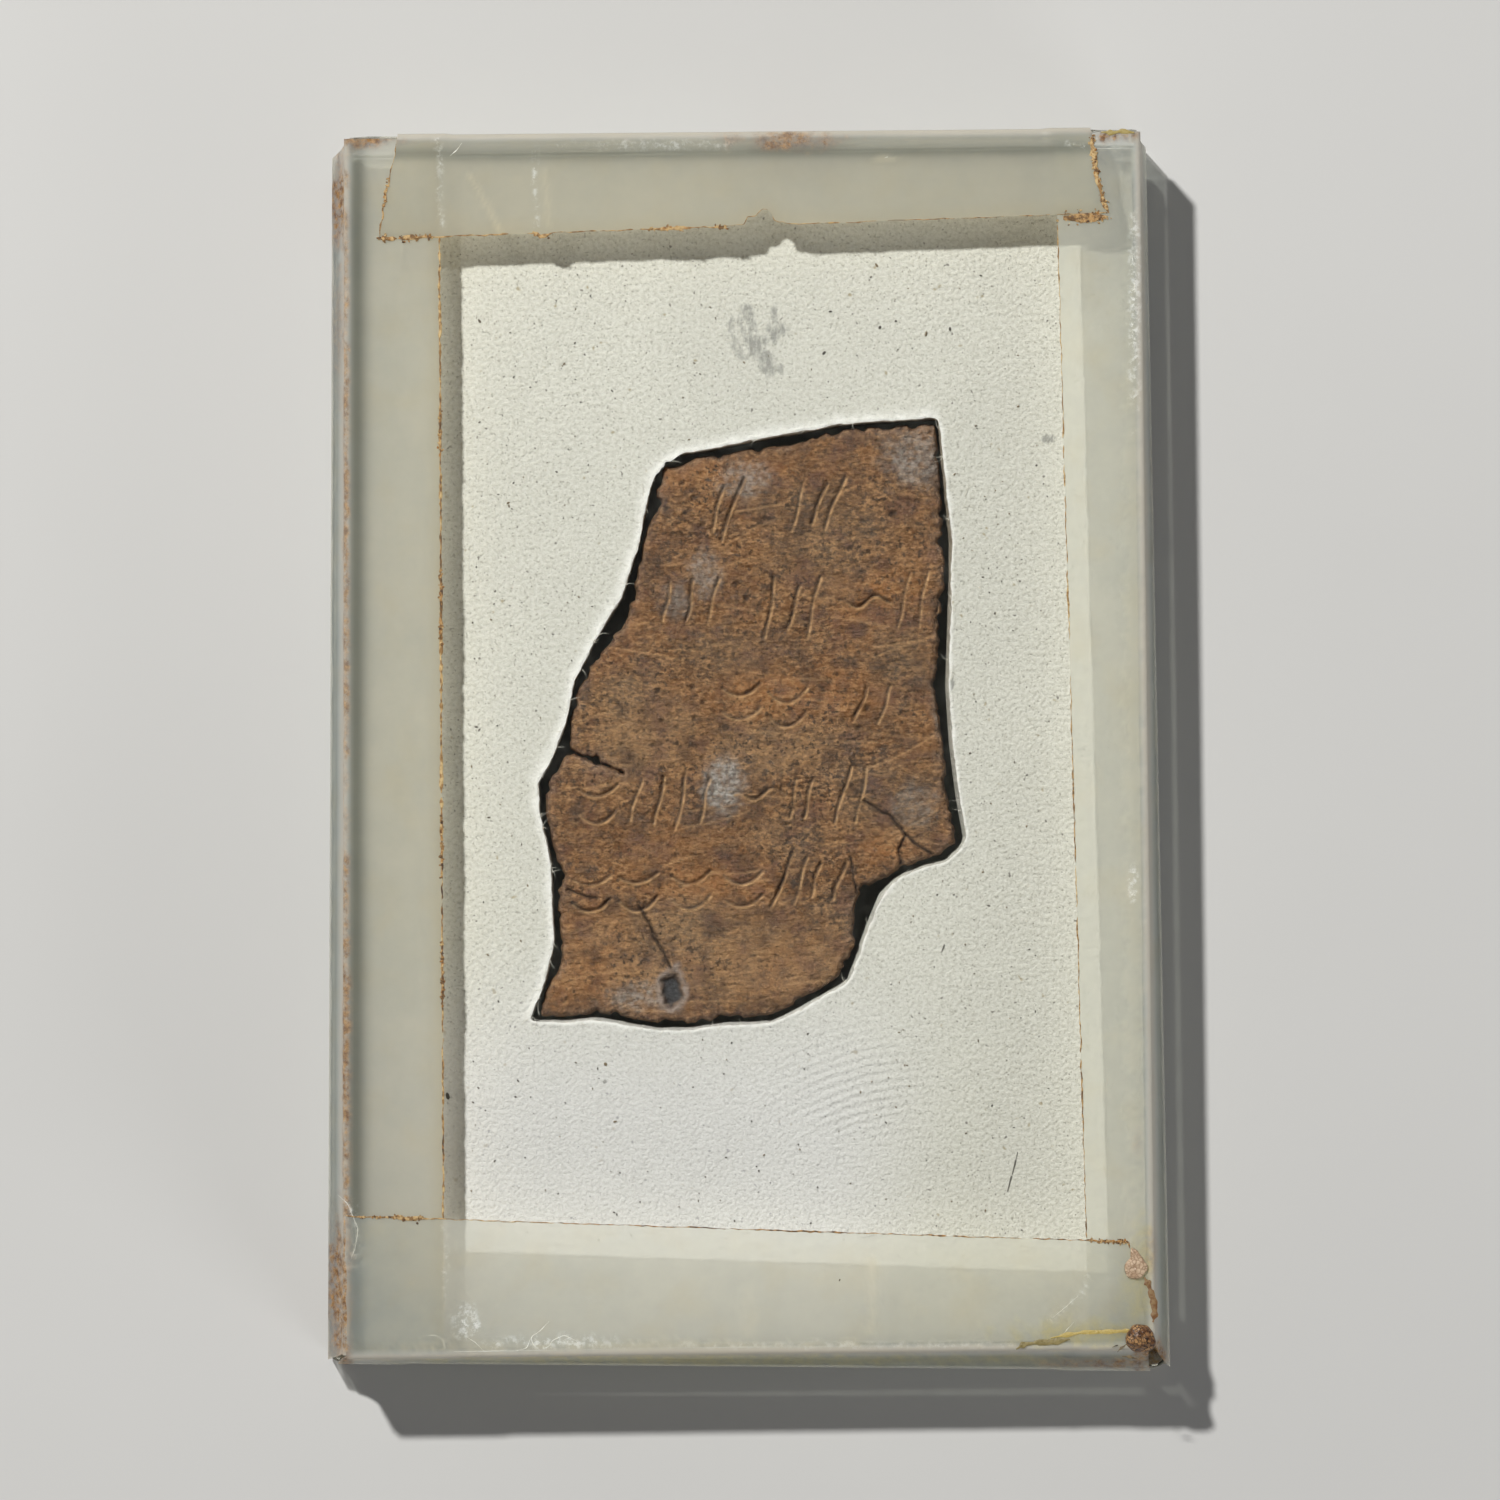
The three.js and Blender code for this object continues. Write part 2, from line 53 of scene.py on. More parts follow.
def outlines_at(node, height):
    """The closed outlines, longest first, where a level plane cuts a piece of the frame."""
    cut = bmesh.new()
    cut.from_mesh(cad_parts[node].data)
    bmesh.ops.remove_doubles(cut, verts=cut.verts, dist=weld)
    everything = cut.verts[:] + cut.edges[:] + cut.faces[:]
    level = (0, 0, height * MM)
    made = bmesh.ops.bisect_plane(cut, geom=everything, plane_co=level, plane_no=(0, 0, 1))
    edges = {item for item in made["geom_cut"] if isinstance(item, bmesh.types.BMEdge)}
    loops = []
    while edges:
        first, last = edges.pop().verts
        loop = [first.co.xy / MM]
        while last != first:
            loop.append(last.co.xy / MM)
            edge = next(edge for edge in last.link_edges if edge in edges)
            edges.remove(edge)
            last = edge.other_vert(last)
        loop = turned_left(np.array(loop))
        # The edges come in no fixed order, so each outline is made to start at its leftmost point
        loops.append(np.roll(loop, -np.argmin(loop @ (1, 0.01)), axis=0))
    cut.free()
    return sorted(loops, key=len_round, reverse=True)


def len_round(loop):
    return np.linalg.norm(np.roll(loop, -1, axis=0) - loop, axis=1).sum()


def turned_left(loop):
    """The same outline, running counterclockwise."""
    x, y = loop.T
    area = np.sum(x * np.roll(y, -1) - np.roll(x, -1) * y)
    return loop if area > 0 else loop[::-1]


def evenly(loop, step):
    """Points about one step apart along a closed outline."""
    closed = np.vstack([loop, loop[:1]])
    run = np.concatenate([[0], np.cumsum(np.linalg.norm(np.diff(closed, axis=0), axis=1))])
    stops = np.linspace(0, run[-1], round(run[-1] / step), endpoint=False)
    return np.column_stack([np.interp(stops, run, closed[:, 0]), np.interp(stops, run, closed[:, 1])])


def outward(loop):
    """Unit directions that point away from the inside of an outline."""
    along = np.roll(loop, -1, axis=0) - np.roll(loop, 1, axis=0)
    along /= np.linalg.norm(along, axis=1, keepdims=True)
    return np.column_stack([along[:, 1], -along[:, 0]])


def grain(x, y, cell, seed):
    """Smooth random heights from -1 to 1, with hills about one cell across."""
    lattice = np.random.default_rng(seed).uniform(-1, 1, (128, 128))
    u, v = np.asarray(x) / cell, np.asarray(y) / cell
    i, j = np.floor(u).astype(int), np.floor(v).astype(int)
    s, t = u - i, v - j
    s, t = s * s * (3 - 2 * s), t * t * (3 - 2 * t)
    i, j = i % 128, j % 128
    ahead, above = (i + 1) % 128, (j + 1) % 128
    low = lattice[i, j] * (1 - s) + lattice[ahead, j] * s
    high = lattice[i, above] * (1 - s) + lattice[ahead, above] * s
    return low * (1 - t) + high * t


class Finish:
    """A surface finish made of nodes. Lengths are in millimetres."""

    def __init__(self, name):
        self.material = bpy.data.materials.new(name)
        self.material.use_nodes = True
        self.tree = self.material.node_tree
        self.tree.nodes.clear()
        here = self.node("ShaderNodeTexCoord").outputs["Object"]
        scaled = {0: here, 1: (1 / MM, 1 / MM, 1 / MM)}
        self.place = self.node("ShaderNodeVectorMath", scaled, operation="MULTIPLY").outputs[0]

    def node(self, kind, inputs=None, **settings):
        made = self.tree.nodes.new(kind)
        for name, value in settings.items():
            setattr(made, name, value)
        for name, value in (inputs or {}).items():
            if isinstance(value, bpy.types.NodeSocket):
                self.tree.links.new(value, made.inputs[name])
            else:
                made.inputs[name].default_value = value
        return made

    def noise(self, size, detail=2, rough=0.5, stretch=(1, 1, 1), shift=0):
        """Cloudy values around 0.5, with spots of one size, longer where stretched."""
        scale = tuple(1 / (size * s) for s in stretch)
        inputs = {"Vector": self.place, "Location": (shift, shift, shift), "Scale": scale}
        spread = self.node("ShaderNodeMapping", inputs)
        inputs = {"Vector": spread.outputs[0], "Scale": 1, "Detail": detail, "Roughness": rough}
        return self.node("ShaderNodeTexNoise", inputs).outputs[0]

    def ramp(self, value, low, high, first=0.0, last=1.0):
        inputs = {"Value": value, "From Min": low, "From Max": high, "To Min": first, "To Max": last}
        return self.node("ShaderNodeMapRange", inputs).outputs[0]

    def patches(self, size, low, high, first=0.0, last=1.0, **cloud):
        """Cloudy patches of one size: the first value outside them, the last inside."""
        return self.ramp(self.noise(size, **cloud), low, high, first, last)

    def math(self, operation, first, second=0.5):
        return self.node("ShaderNodeMath", {0: first, 1: second}, operation=operation).outputs[0]

    def blend(self, share, first, second):
        first, second = (c if isinstance(c, bpy.types.NodeSocket) else (*c, 1) for c in (first, second))
        made = self.node("ShaderNodeMix", {0: share, 6: first, 7: second}, data_type="RGBA")
        return made.outputs[2]

    def coat(self, share, colour, strength=1.0):
        """Lay a colour over what the finish has so far."""
        share = share if strength == 1 else self.math("MULTIPLY", share, strength)
        self.colour = self.blend(share, self.colour, colour)

    def marked(self, name):
        """A value that the mesh carries at each point."""
        return self.node("ShaderNodeAttribute", attribute_name=name).outputs["Fac"]

    def bump(self, height, depth, normal=None):
        inputs = {"Height": height, "Distance": depth * MM, "Strength": 1}
        if normal:
            inputs["Normal"] = normal
        return self.node("ShaderNodeBump", inputs).outputs[0]

    def skin(self, roughness, normal=None, specular=0.5):
        """The plain shader of the finish: its colour, roughness, bumps and mirror share."""
        inputs = {"Base Color": self.colour, "Roughness": roughness, "Specular IOR Level": specular}
        if normal:
            inputs["Normal"] = normal
        return self.node("ShaderNodeBsdfPrincipled", inputs).outputs[0]

    def mix(self, share, first, second):
        return self.node("ShaderNodeMixShader", {0: share, 1: first, 2: second}).outputs[0]

    def done(self, shader):
        self.node("ShaderNodeOutputMaterial", {"Surface": shader})
        return self.material


def glass_finish(name, tint):
    """Clear old glass with a thin uneven film of dust. Light from the lamps passes straight on."""
    glass = Finish(name)
    waves = glass.bump(glass.noise(7, detail=1), 0.01)
    body = glass.node("ShaderNodeBsdfPrincipled", {
        "Base Color": (*tint, 1),
        "Roughness": glass.patches(4, 0.45, 0.75, 0, 0.05, detail=5),
        "IOR": 1.52,
        "Transmission Weight": 1,
        "Normal": waves,
    }).outputs[0]
    straight = glass.node("ShaderNodeBsdfTransparent", {"Color": (*tint, 1)}).outputs[0]
    ray = glass.node("ShaderNodeLightPath").outputs
    from_lamp = glass.math("MAXIMUM", ray["Is Shadow Ray"], ray["Is Diffuse Ray"])
    clear = glass.mix(from_lamp, body, straight)
    dust = glass.node("ShaderNodeBsdfDiffuse", {"Color": (0.7, 0.7, 0.64, 1)}).outputs[0]
    dusty = glass.patches(1.5, 0.5, 0.8, 0, 0.03, detail=8, rough=0.7)
    grimy_side = glass.math("MULTIPLY", glass.marked("side"), glass.patches(0.8, 0.3, 0.7, 0.15, 0.4, detail=4))
    return glass.done(glass.mix(glass.math("MAXIMUM", dusty, grimy_side), clear, dust))


def set_down(name, mesh, finish, stands_for=()):
    """Show a mesh as a smooth piece that rides on the mount."""
    mesh.polygons.foreach_set("use_smooth", [True] * len(mesh.polygons))
    mesh.materials.append(finish)
    made = bpy.data.objects.new(name, mesh)
    bpy.context.scene.collection.objects.link(made)
    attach(made, "root")
    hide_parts(*stands_for)
    return made


def make_piece(name, points, faces, finish, stands_for=(), marks=None, crease=35):
    """A piece from points, in millimetres, and faces. Edges sharper than the crease stay sharp."""
    mesh = bpy.data.meshes.new(name)
    mesh.from_pydata((np.asarray(points, float) * MM).tolist(), [], faces)
    made = set_down(name, mesh, finish, stands_for)
    mesh.set_sharp_from_angle(angle=math.radians(crease))
    for mark, values in (marks or {}).items():
        mesh.attributes.new(mark, "FLOAT", "POINT").data.foreach_set("value", values.astype(np.float32))
    return made


def rows_of_quads(rows, count, closed=True, start=0):
    """Faces between rows of points of equal count."""
    faces = []
    places = range(count if closed else count - 1)
    for row in range(rows - 1):
        low = start + row * count
        for place in places:
            after = (place + 1) % count
            faces.append((low + place, low + after, low + count + after, low + count + place))
    return faces


def with_lids(rows, count):
    """Faces of a closed body: quads between its rings, and a lid at each end."""
    last = (rows - 1) * count
    return rows_of_quads(rows, count) + [tuple(reversed(range(count))), tuple(range(last, last + count))]


edge_step = 0.3
edge_bevel = 0.12
edge_ripple = 0.035
edge_rows = 9


def glass_plate(name, node, finish, seed):
    """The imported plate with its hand-broken edges: small uneven bevels and rippled sides."""
    low, high = (corner.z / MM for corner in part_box(node))
    loop = evenly(outlines_at(node, (low + high) / 2)[0], edge_step)
    away = outward(loop)
    heights = np.concatenate([[low], np.linspace(low + edge_bevel, high - edge_bevel, edge_rows), [high]])
    rings = []
    for row, height in enumerate(heights):
        x, y = loop.T
        capped = row in (0, len(heights) - 1)
        inset = edge_bevel * (0.8 + 0.5 * grain(x, y, 1.3, seed)) if capped else (
            edge_ripple * (1 + grain(x + 3 * height, y - 2 * height, 0.9, seed + 1)))
        ring = loop - away * np.asarray(inset)[:, None]
        rings.append(np.column_stack([ring, np.full(len(ring), height)]))
    side = np.repeat([0.0] + [1.0] * (len(rings) - 2) + [0.0], len(loop))
    faces = with_lids(len(rings), len(loop))
    return make_piece(name, np.vstack(rings), faces, finish, (node,), {"side": side})


back_finish = glass_finish("back plate glass", (0.95, 0.975, 0.955))
glass_plate("back_plate", "back_glass", back_finish, 11)

# Lead fragment
# A torn piece of beaten lead sheet with scored marks, about 1.4 mm thick. Its skin is a brown
# patina with ochre freckles, thickest where it is pitted, and grey crusts. Its hollows are painted
# near black, partly dark patina and partly painted shade, and the lit lips of its scores carry a
# painted ochre highlight. It lies loose on the back plate.
lead_low, lead_high = (corner.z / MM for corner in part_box("lead_fragment"))
lead_step = 0.09
lead_thick = 1.42
lead_face = lead_low + lead_thick
lead_draw = 0.05
torn_edge = evenly(outlines_at("lead_fragment", lead_low + 0.73)[0], 0.05)
torn_away = outward(torn_edge)
torn_ragged = 0.07 * grain(*torn_edge.T, 1.1, 21) + 0.07 * grain(*torn_edge.T, 0.4, 22)
torn_ragged += 0.36 * np.clip(grain(*torn_edge.T, 0.6, 24) - 0.2, 0, 1) + 0.04 * grain(*torn_edge.T, 0.18, 23)
lead_rim = torn_edge - torn_away * (lead_draw + np.maximum(torn_ragged, -0.05))[:, None]


def inside(x, y, loop):
    """Which points of a grid, whose rows share one y, lie inside an outline."""
    after = np.roll(loop, -1, axis=0)
    found = np.zeros(x.shape, bool)
    for row in range(len(y)):
        level = y[row, 0]
        crossing = (loop[:, 1] > level) != (after[:, 1] > level)
        a, b = loop[crossing], after[crossing]
        cuts = np.sort(a[:, 0] + (level - a[:, 1]) * (b[:, 0] - a[:, 0]) / (b[:, 1] - a[:, 1]))
        found[row] = np.searchsorted(cuts, x[row]) % 2 == 1
    return found


def nearest_on(loop, x, y):
    """The place in an outline that is nearest to each point, and its distance."""
    tree = kdtree.KDTree(len(loop))
    for place, (px, py) in enumerate(loop):
        tree.insert((px, py, 0), place)
    tree.balance()
    found = [tree.find((px, py, 0)) for px, py in zip(x, y)]
    return np.array([f[1] for f in found]), np.array([f[2] for f in found])


def bell(gap, reach):
    """One where there is no gap, and next to nothing at twice the reach."""
    return np.exp(-(gap / reach) ** 2)


def oval(x, y, middle, reach):
    """Distance from a middle point, as a share of the reach along x and y."""
    return np.hypot((x - middle[0]) / reach[0], (y - middle[1]) / reach[1])


def off_path(x, y, path, reach):
    """Distance of each point from a line of points, or endless beyond the reach."""
    path = np.asarray(path, float)
    distance = np.full(x.shape, np.inf)
    low, high = path.min(0) - reach, path.max(0) + reach
    near = np.flatnonzero((x > low[0]) & (x < high[0]) & (y > low[1]) & (y < high[1]))
    spot = np.column_stack([x[near], y[near]])
    for a, b in zip(path[:-1], path[1:]):
        along = b - a
        share = np.clip(((spot - a) @ along) / max(along @ along, 1e-9), 0, 1)
        gap = np.linalg.norm(spot - a - share[:, None] * along, axis=1)
        distance[near] = np.minimum(distance[near], gap)
    return distance


grid_x, grid_y = np.meshgrid(
    np.arange(lead_rim[:, 0].min() - lead_step, lead_rim[:, 0].max() + 2 * lead_step, lead_step),
    np.arange(lead_rim[:, 1].min() - lead_step, lead_rim[:, 1].max() + 2 * lead_step, lead_step))
within = inside(grid_x, grid_y, lead_rim)
rim_place, rim_gap = nearest_on(lead_rim, grid_x.ravel(), grid_y.ravel())
snapped = rim_gap < 0.5 * lead_step
lead_x = np.where(snapped, lead_rim[rim_place, 0], grid_x.ravel())
lead_y = np.where(snapped, lead_rim[rim_place, 1], grid_y.ravel())
rim_gap = np.where(snapped, 0, rim_gap)
usable = within.ravel() | snapped
width = grid_x.shape[1]
first = (np.arange(grid_x.shape[0] - 1)[:, None] * width + np.arange(width - 1)).ravel()
cells = np.column_stack([first, first + 1, first + width + 1, first + width])
filled = usable[cells]
cells, filled = cells[filled.sum(1) >= 3], filled[filled.sum(1) >= 3]
lead_faces = [tuple(cell[kept]) for cell, kept in zip(cells, filled)]
used = np.unique(np.concatenate(lead_faces))
renamed = np.zeros(len(lead_x), int)
renamed[used] = np.arange(len(used))
lead_faces = [tuple(int(n) for n in renamed[list(face)]) for face in lead_faces]
lead_x, lead_y, rim_gap, rim_place = lead_x[used], lead_y[used], rim_gap[used], rim_place[used]

# Rows of scored marks: height of the row, where it starts and where it ends. The marks are
# leaning tallies, laid bows, ripples and punched dots.
mark_rows = [(15.6, -4.0, 9.0), (9.5, -5.2, 10.4), (3.1, -7.8, 9.2), (-2.6, -10.4, 9.8), (-8.4, -10.8, 6.4)]
chance = np.random.default_rng(5)
scores, punches = [], []
for number, (level, start, end) in enumerate(mark_rows):
    at, lean = start, 0.22 if number % 2 else 0.34
    share = np.linspace(-1, 1, 13)[:, None]
    while at < end:
        kind = chance.choice(["tally", "bows", "ripple", "dots", "bare"], p=[0.40, 0.16, 0.18, 0.12, 0.14])
        middle = np.array([at, level + chance.uniform(-0.4, 0.4)])
        if kind == "tally":
            for _ in range(chance.integers(2, 5)):
                tall = chance.uniform(2.0, 3.9)
                wobble = np.column_stack([0.07 * np.sin(3 * share[:, 0] + at), 0 * share[:, 0]])
                slant = lean + chance.uniform(-0.08, 0.08)
                scores.append((at, middle[1]) + share * (slant * tall / 2, tall / 2) + wobble)
                at += chance.uniform(0.9, 1.6)
        elif kind == "bows":
            for lift in (-0.8, 0.7):
                bend = chance.uniform(0.45, 0.8)
                scores.append(middle + (0.9, lift) + share * (1.2, 0.15) + (1 - share**2) * (0, -bend))
            at += 2.5
        elif kind == "ripple":
            wave = 0.3 * np.sin(4.6 * share[:, 0] + at)
            scores.append(middle + (1.3, -0.2) + share * (1.6, 0.2) + np.column_stack([0 * wave, wave]))
            at += 3.0
        elif kind == "dots":
            punches += [middle + spot for spot in ((0, -0.9), (0.5, 0.1), (-0.2, 1.0))]
            at += 1.2
        else:
            at += 1.4
        at += chance.uniform(0.4, 1.1)

cracks = [
    [(-4.9, -13.6), (-5.3, -12.6), (-5.9, -11.8), (-6.3, -10.7), (-6.9, -9.6)],
    [(11.7, -6.5), (10.6, -5.9), (9.8, -5.2), (8.8, -4.0), (7.2, -3.1)],
    [(9.8, -5.2), (9.4, -6.1), (9.5, -7.0)],
    [(6.9, -9.6), (6.6, -8.1), (6.4, -6.6)],
    [(-11.4, -8.6), (-10.3, -9.0), (-9.6, -9.2)],
]
pit_middle, pit_reach = (-4.85, -14.9), (0.62, 1.0)
# Dents: place and radius. Grey crusts: middle, reach along x and y, and strength
dug = [(-1.6, 1.55, 0.26), (-5.2, 15.2, 0.24), (9.1, 15.0, 0.3), (5.9, 1.9, 0.25), (6.9, 1.5, 0.2),
       (-8.4, 13.2, 0.2), (-3.0, 14.2, 0.18), (7.4, 2.7, 0.24), (-6.5, -9.6, 0.16), (1.0, 14.6, 0.17)]
crusts = [((-1.7, -2.2), (1.5, 1.85), 1.0), ((-0.3, 17.0), (1.9, 1.3), 0.55), ((-2.8, 11.2), (1.2, 1.6), 0.5),
          ((-6.9, -15.4), (2.4, 1.1), 0.55), ((10.6, 18.7), (2.7, 2.1), 0.65), ((12.0, 3.0), (0.5, 1.5), 0.7),
          ((10.4, -3.4), (1.6, 1.3), 0.35), ((-4.6, 9.4), (1.1, 1.3), 0.35)]

x, y = lead_x, lead_y
relief = 0.06 * grain(x, y, 6.5, 31) + 0.045 * grain(x, y, 2.1, 32) + 0.035 * grain(x, y, 0.8, 33)
pitted = 0.55 + 0.45 * grain(x, y, 2.6, 66)
relief += pitted * (0.065 * grain(x, y, 0.40, 34) + 0.040 * grain(x, y, 0.22, 35))
combed = 0.5 + 0.5 * grain(x, y, 4.2, 36)
relief += 0.050 * combed * grain(x / 7 + 0.02 * y, y - 0.07 * x, 0.24, 37)
relief += 0.055 * (1 - combed) * grain(x / 3, y + 0.35 * x, 0.30, 38)
scored, raised = np.zeros(len(x)), np.zeros(len(x))
scratched = np.random.default_rng(8)
scratch_count = 90
for _ in range(scratch_count):
    start = np.array([scratched.uniform(-13, 11), scratched.uniform(-18, 20)])
    reach = scratched.uniform(1.2, 5)
    slope = scratched.normal(0.05, 0.25)
    bow = scratched.normal(0, 0.12)
    share = np.linspace(0, 1, 7)[:, None]
    path = start + share * (reach, reach * slope) + share * (1 - share) * (0, 4 * bow)
    depth = scratched.uniform(0.015, 0.05)
    relief -= depth * bell(off_path(x, y, path, 0.5), 0.075)
    # Painted highlight: a bright line just below each scratch, on the wall the lamp lights
    raised = np.maximum(raised, 6 * depth * bell(off_path(x, y + 0.12, path, 0.5), 0.07))
for number, path in enumerate(scores):
    gap = off_path(x, y, path, 0.9)
    depth = 0.10 + 0.06 * math.sin(2.4 * number)
    worn = 0.75 + 0.25 * grain(x, y, 0.6, 40 + number)
    # The lip stands out on the lower right of each score, the side the lamp lights, and carries a painted ochre
    # highlight
    lip = off_path(x - 0.10, y + 0.14, path, 0.9)
    relief -= 2.2 * depth * worn * bell(gap, 0.085)
    relief += 1.1 * depth * worn * bell(lip, 0.085)
    scored = np.maximum(scored, worn * bell(gap, 0.10))
    chipped = np.clip(0.75 + 0.6 * grain(x, y, 0.35, 75 + number), 0, 1)
    raised = np.maximum(raised, chipped * worn * bell(lip, 0.085))
# Cracks, dents, punches, pocks and scores are coloured near black: partly dark patina, partly painted shade
hollow_patina_and_shade = np.zeros(len(x))
for path in cracks:
    gap = off_path(x + 0.07 * grain(x, y, 0.4, 51), y + 0.07 * grain(x, y, 0.4, 52), path, 0.6)
    relief -= 0.30 * bell(gap, 0.075)
    hollow_patina_and_shade = np.maximum(hollow_patina_and_shade, bell(gap, 0.085))
for px, py, radius in dug + [(*spot, 0.16) for spot in punches]:
    gap = np.hypot(x - px, y - py) / radius + 0.3 * grain(x, y, 0.3, 53)
    relief += -0.22 * np.exp(-gap**2) + 0.05 * bell(gap - 1.7, 0.5)
    hollow_patina_and_shade = np.maximum(hollow_patina_and_shade, 0.8 * bell(gap, 0.9))
pocked = np.clip(grain(x, y, 0.5, 54) - 0.72, 0, 1) * (grain(x, y, 5, 55) > -0.1)
relief -= 0.5 * pocked
hollow_patina_and_shade = np.maximum(hollow_patina_and_shade, np.clip(2.2 * pocked, 0, 0.7))
gap = oval(x, y, pit_middle, pit_reach) + 0.22 * grain(x, y, 0.55, 56) + 0.1 * grain(x, y, 0.2, 65)
pit_depth = 1 / (1 + np.exp((gap - 1) / 0.09))
relief -= 0.50 * pit_depth
relief += 0.06 * bell(gap - 1.35, 0.2)
pit_edge = bell(gap - 1.3, 0.28)
crusted = np.zeros(len(x))
uneven = 0.22 * grain(x, y, 0.9, 57) + 0.12 * grain(x, y, 0.25, 58)
for middle, reach, strength in crusts:
    gap = oval(x, y, middle, reach) + uneven
    crusted = np.maximum(crusted, strength / (1 + np.exp((gap - 0.85) / 0.13)))
relief += crusted * (0.03 * grain(x, y, 0.3, 59) + 0.02)
flaked = np.clip((x - 8.9 - 0.45 * (20 - y) - 0.4 * grain(x, y, 0.6, 60)) / 0.12, 0, 1) * (y > 15.8)
relief -= 0.06 * flaked
relief -= 0.20 * np.exp(-rim_gap / (0.14 + 0.05 * grain(x, y, 0.9, 61))) * (0.8 + 0.4 * grain(x, y, 0.5, 62))
# Patches of patina by tone: middle, and reach along x and y
tones = {
    "warm": [((-2.0, 17.6), (5.0, 1.0)), ((-9.4, -13.3), (2.8, 2.6)), ((-8.2, 8.4), (1.3, 2.8)),
             ((2.6, -14.0), (3.4, 2.0)), ((-3.0, -8.4), (4.5, 1.3)), ((2.5, 3.6), (5.5, 1.6)),
             ((8.5, 9.6), (2.6, 1.6)), ((8.9, -6.0), (1.6, 1.2))],
    "cool": [((8.4, -3.0), (3.6, 2.6)), ((5.0, 13.6), (4.0, 3.0)), ((-1.5, 6.2), (3.2, 1.6)),
             ((2.6, -5.2), (3.0, 1.5)), ((-4.2, -11.4), (2.2, 1.9)), ((9.8, 6.0), (2.0, 2.6)),
             ((-7.6, 4.0), (2.5, 1.5)), ((6.5, -10.6), (1.5, 1.5))],
    "tan": [((-3.0, -12.8), (8.5, 3.3)), ((3.5, -14.0), (4.5, 2.4)), ((-6.5, 0.8), (3.4, 2.6)),
            ((1.5, 0.2), (5.0, 1.6))]}
toned = {}
for number, (tone, spots) in enumerate(tones.items()):
    uneven = 0.3 * grain(x, y, 1.6, 67 + number) + 0.15 * grain(x, y, 0.5, 69 + number)
    gap = np.min([oval(x, y, *spot) for spot in spots], axis=0) + uneven
    toned[tone] = np.exp(-np.maximum(gap, 0) ** 3)
rim_worn = np.exp(-rim_gap / 0.22) * (0.5 + 0.5 * grain(x, y, 0.35, 63))

lead_top = np.minimum(lead_face + relief, lead_high + 0.15)
sheet = bmesh.new()
marks = {"hollow_patina_and_shade": np.maximum(hollow_patina_and_shade, 0.85 * scored), "raised": raised, "crusted": crusted, "rim": rim_worn,
         "pit": pit_depth, "pit_edge": pit_edge, "pitted": pitted, **toned}
layers = {mark: sheet.verts.layers.float.new(mark) for mark in marks}
corner_of = []
for place, point in enumerate(zip(lead_x, lead_y, lead_top)):
    vertex = sheet.verts.new([value * MM for value in point])
    for mark, values in marks.items():
        vertex[layers[mark]] = values[place]
    corner_of.append(vertex)
for face in lead_faces:
    sheet.faces.new([corner_of[place] for place in face])
sheet.verts.index_update()
place_of = {corner_of[place]: rim_place[place] for place in range(len(corner_of))}
ring = [edge for edge in sheet.edges if len(edge.link_faces) == 1]
# Rows of the broken edge: share of the way down, and how far it stands out past the rim
for down, out in ((0.06, 0.06), (0.18, 0.10), (0.34, 0.15), (0.5, 0.17), (0.68, 0.13), (0.85, 0.04),
                  (1, -0.04)):
    above = {vertex for edge in ring for vertex in edge.verts}
    made = bmesh.ops.extrude_edge_only(sheet, edges=ring)["geom"]
    ring = [item for item in made if isinstance(item, bmesh.types.BMEdge)]
    fresh = [item for item in made if isinstance(item, bmesh.types.BMVert)]
    for vertex in fresh:
        source = next(e.other_vert(vertex) for e in vertex.link_edges if e.other_vert(vertex) in above)
        place = place_of[source]
        place_of[vertex] = place
        px, py = lead_rim[place] + torn_away[place] * (
            out + 0.035 * grain(torn_edge[place, 0] + 5 * down, torn_edge[place, 1] - 5 * down, 0.3, 64))
        height = lead_low + (1 - down) * (lead_face - 0.16 - lead_low)
        vertex.co = (px * MM, py * MM, height * MM)
        for mark in layers.values():
            vertex[mark] = 0
        vertex[layers["rim"]] = 0.35
bmesh.ops.triangle_fill(sheet, edges=ring, use_beauty=True)
bmesh.ops.remove_doubles(sheet, verts=sheet.verts, dist=1e-6)
bmesh.ops.recalc_face_normals(sheet, faces=sheet.faces)
lead_mesh = bpy.data.meshes.new("lead_fragment_skin")
sheet.to_mesh(lead_mesh)
sheet.free()

lead = Finish("brown lead patina")
pitted_share = lead.marked("pitted")
mottle = lead.patches(0.9, 0.40, 0.60, detail=4, rough=0.65, shift=3)
freckle = lead.patches(0.24, 0.45, 0.62, detail=4, rough=0.65, stretch=(1.5, 1, 1), shift=7)
streak = lead.patches(0.28, 0.48, 0.62, rough=0.6, stretch=(3.5, 1, 1), shift=5)
lead.colour = lead.blend(mottle, (0.039, 0.016, 0.006), (0.135, 0.058, 0.020))
lead.coat(lead.patches(3.2, 0.38, 0.62, detail=4, rough=0.62), (0.255, 0.114, 0.038), 0.6)
lead.coat(lead.marked("warm"), (0.360, 0.150, 0.045), 0.6)
lead.coat(lead.marked("cool"), (0.110, 0.080, 0.052), 0.6)
lead.coat(lead.marked("tan"), (0.330, 0.205, 0.108), 0.6)
lead.coat(lead.math("MULTIPLY", freckle, lead.ramp(pitted_share, 0, 1, 0.32, 0.75)), (0.530, 0.300, 0.138))
lead.coat(streak, (0.360, 0.195, 0.088), 0.28)
lead.coat(lead.patches(1.7, 0.50, 0.64, 0, 0.65, detail=4, rough=0.6, shift=11), (0.056, 0.030, 0.019))
lead.coat(lead.patches(2.3, 0.53, 0.66, 0, 0.5, detail=3, shift=17), (0.125, 0.060, 0.044))
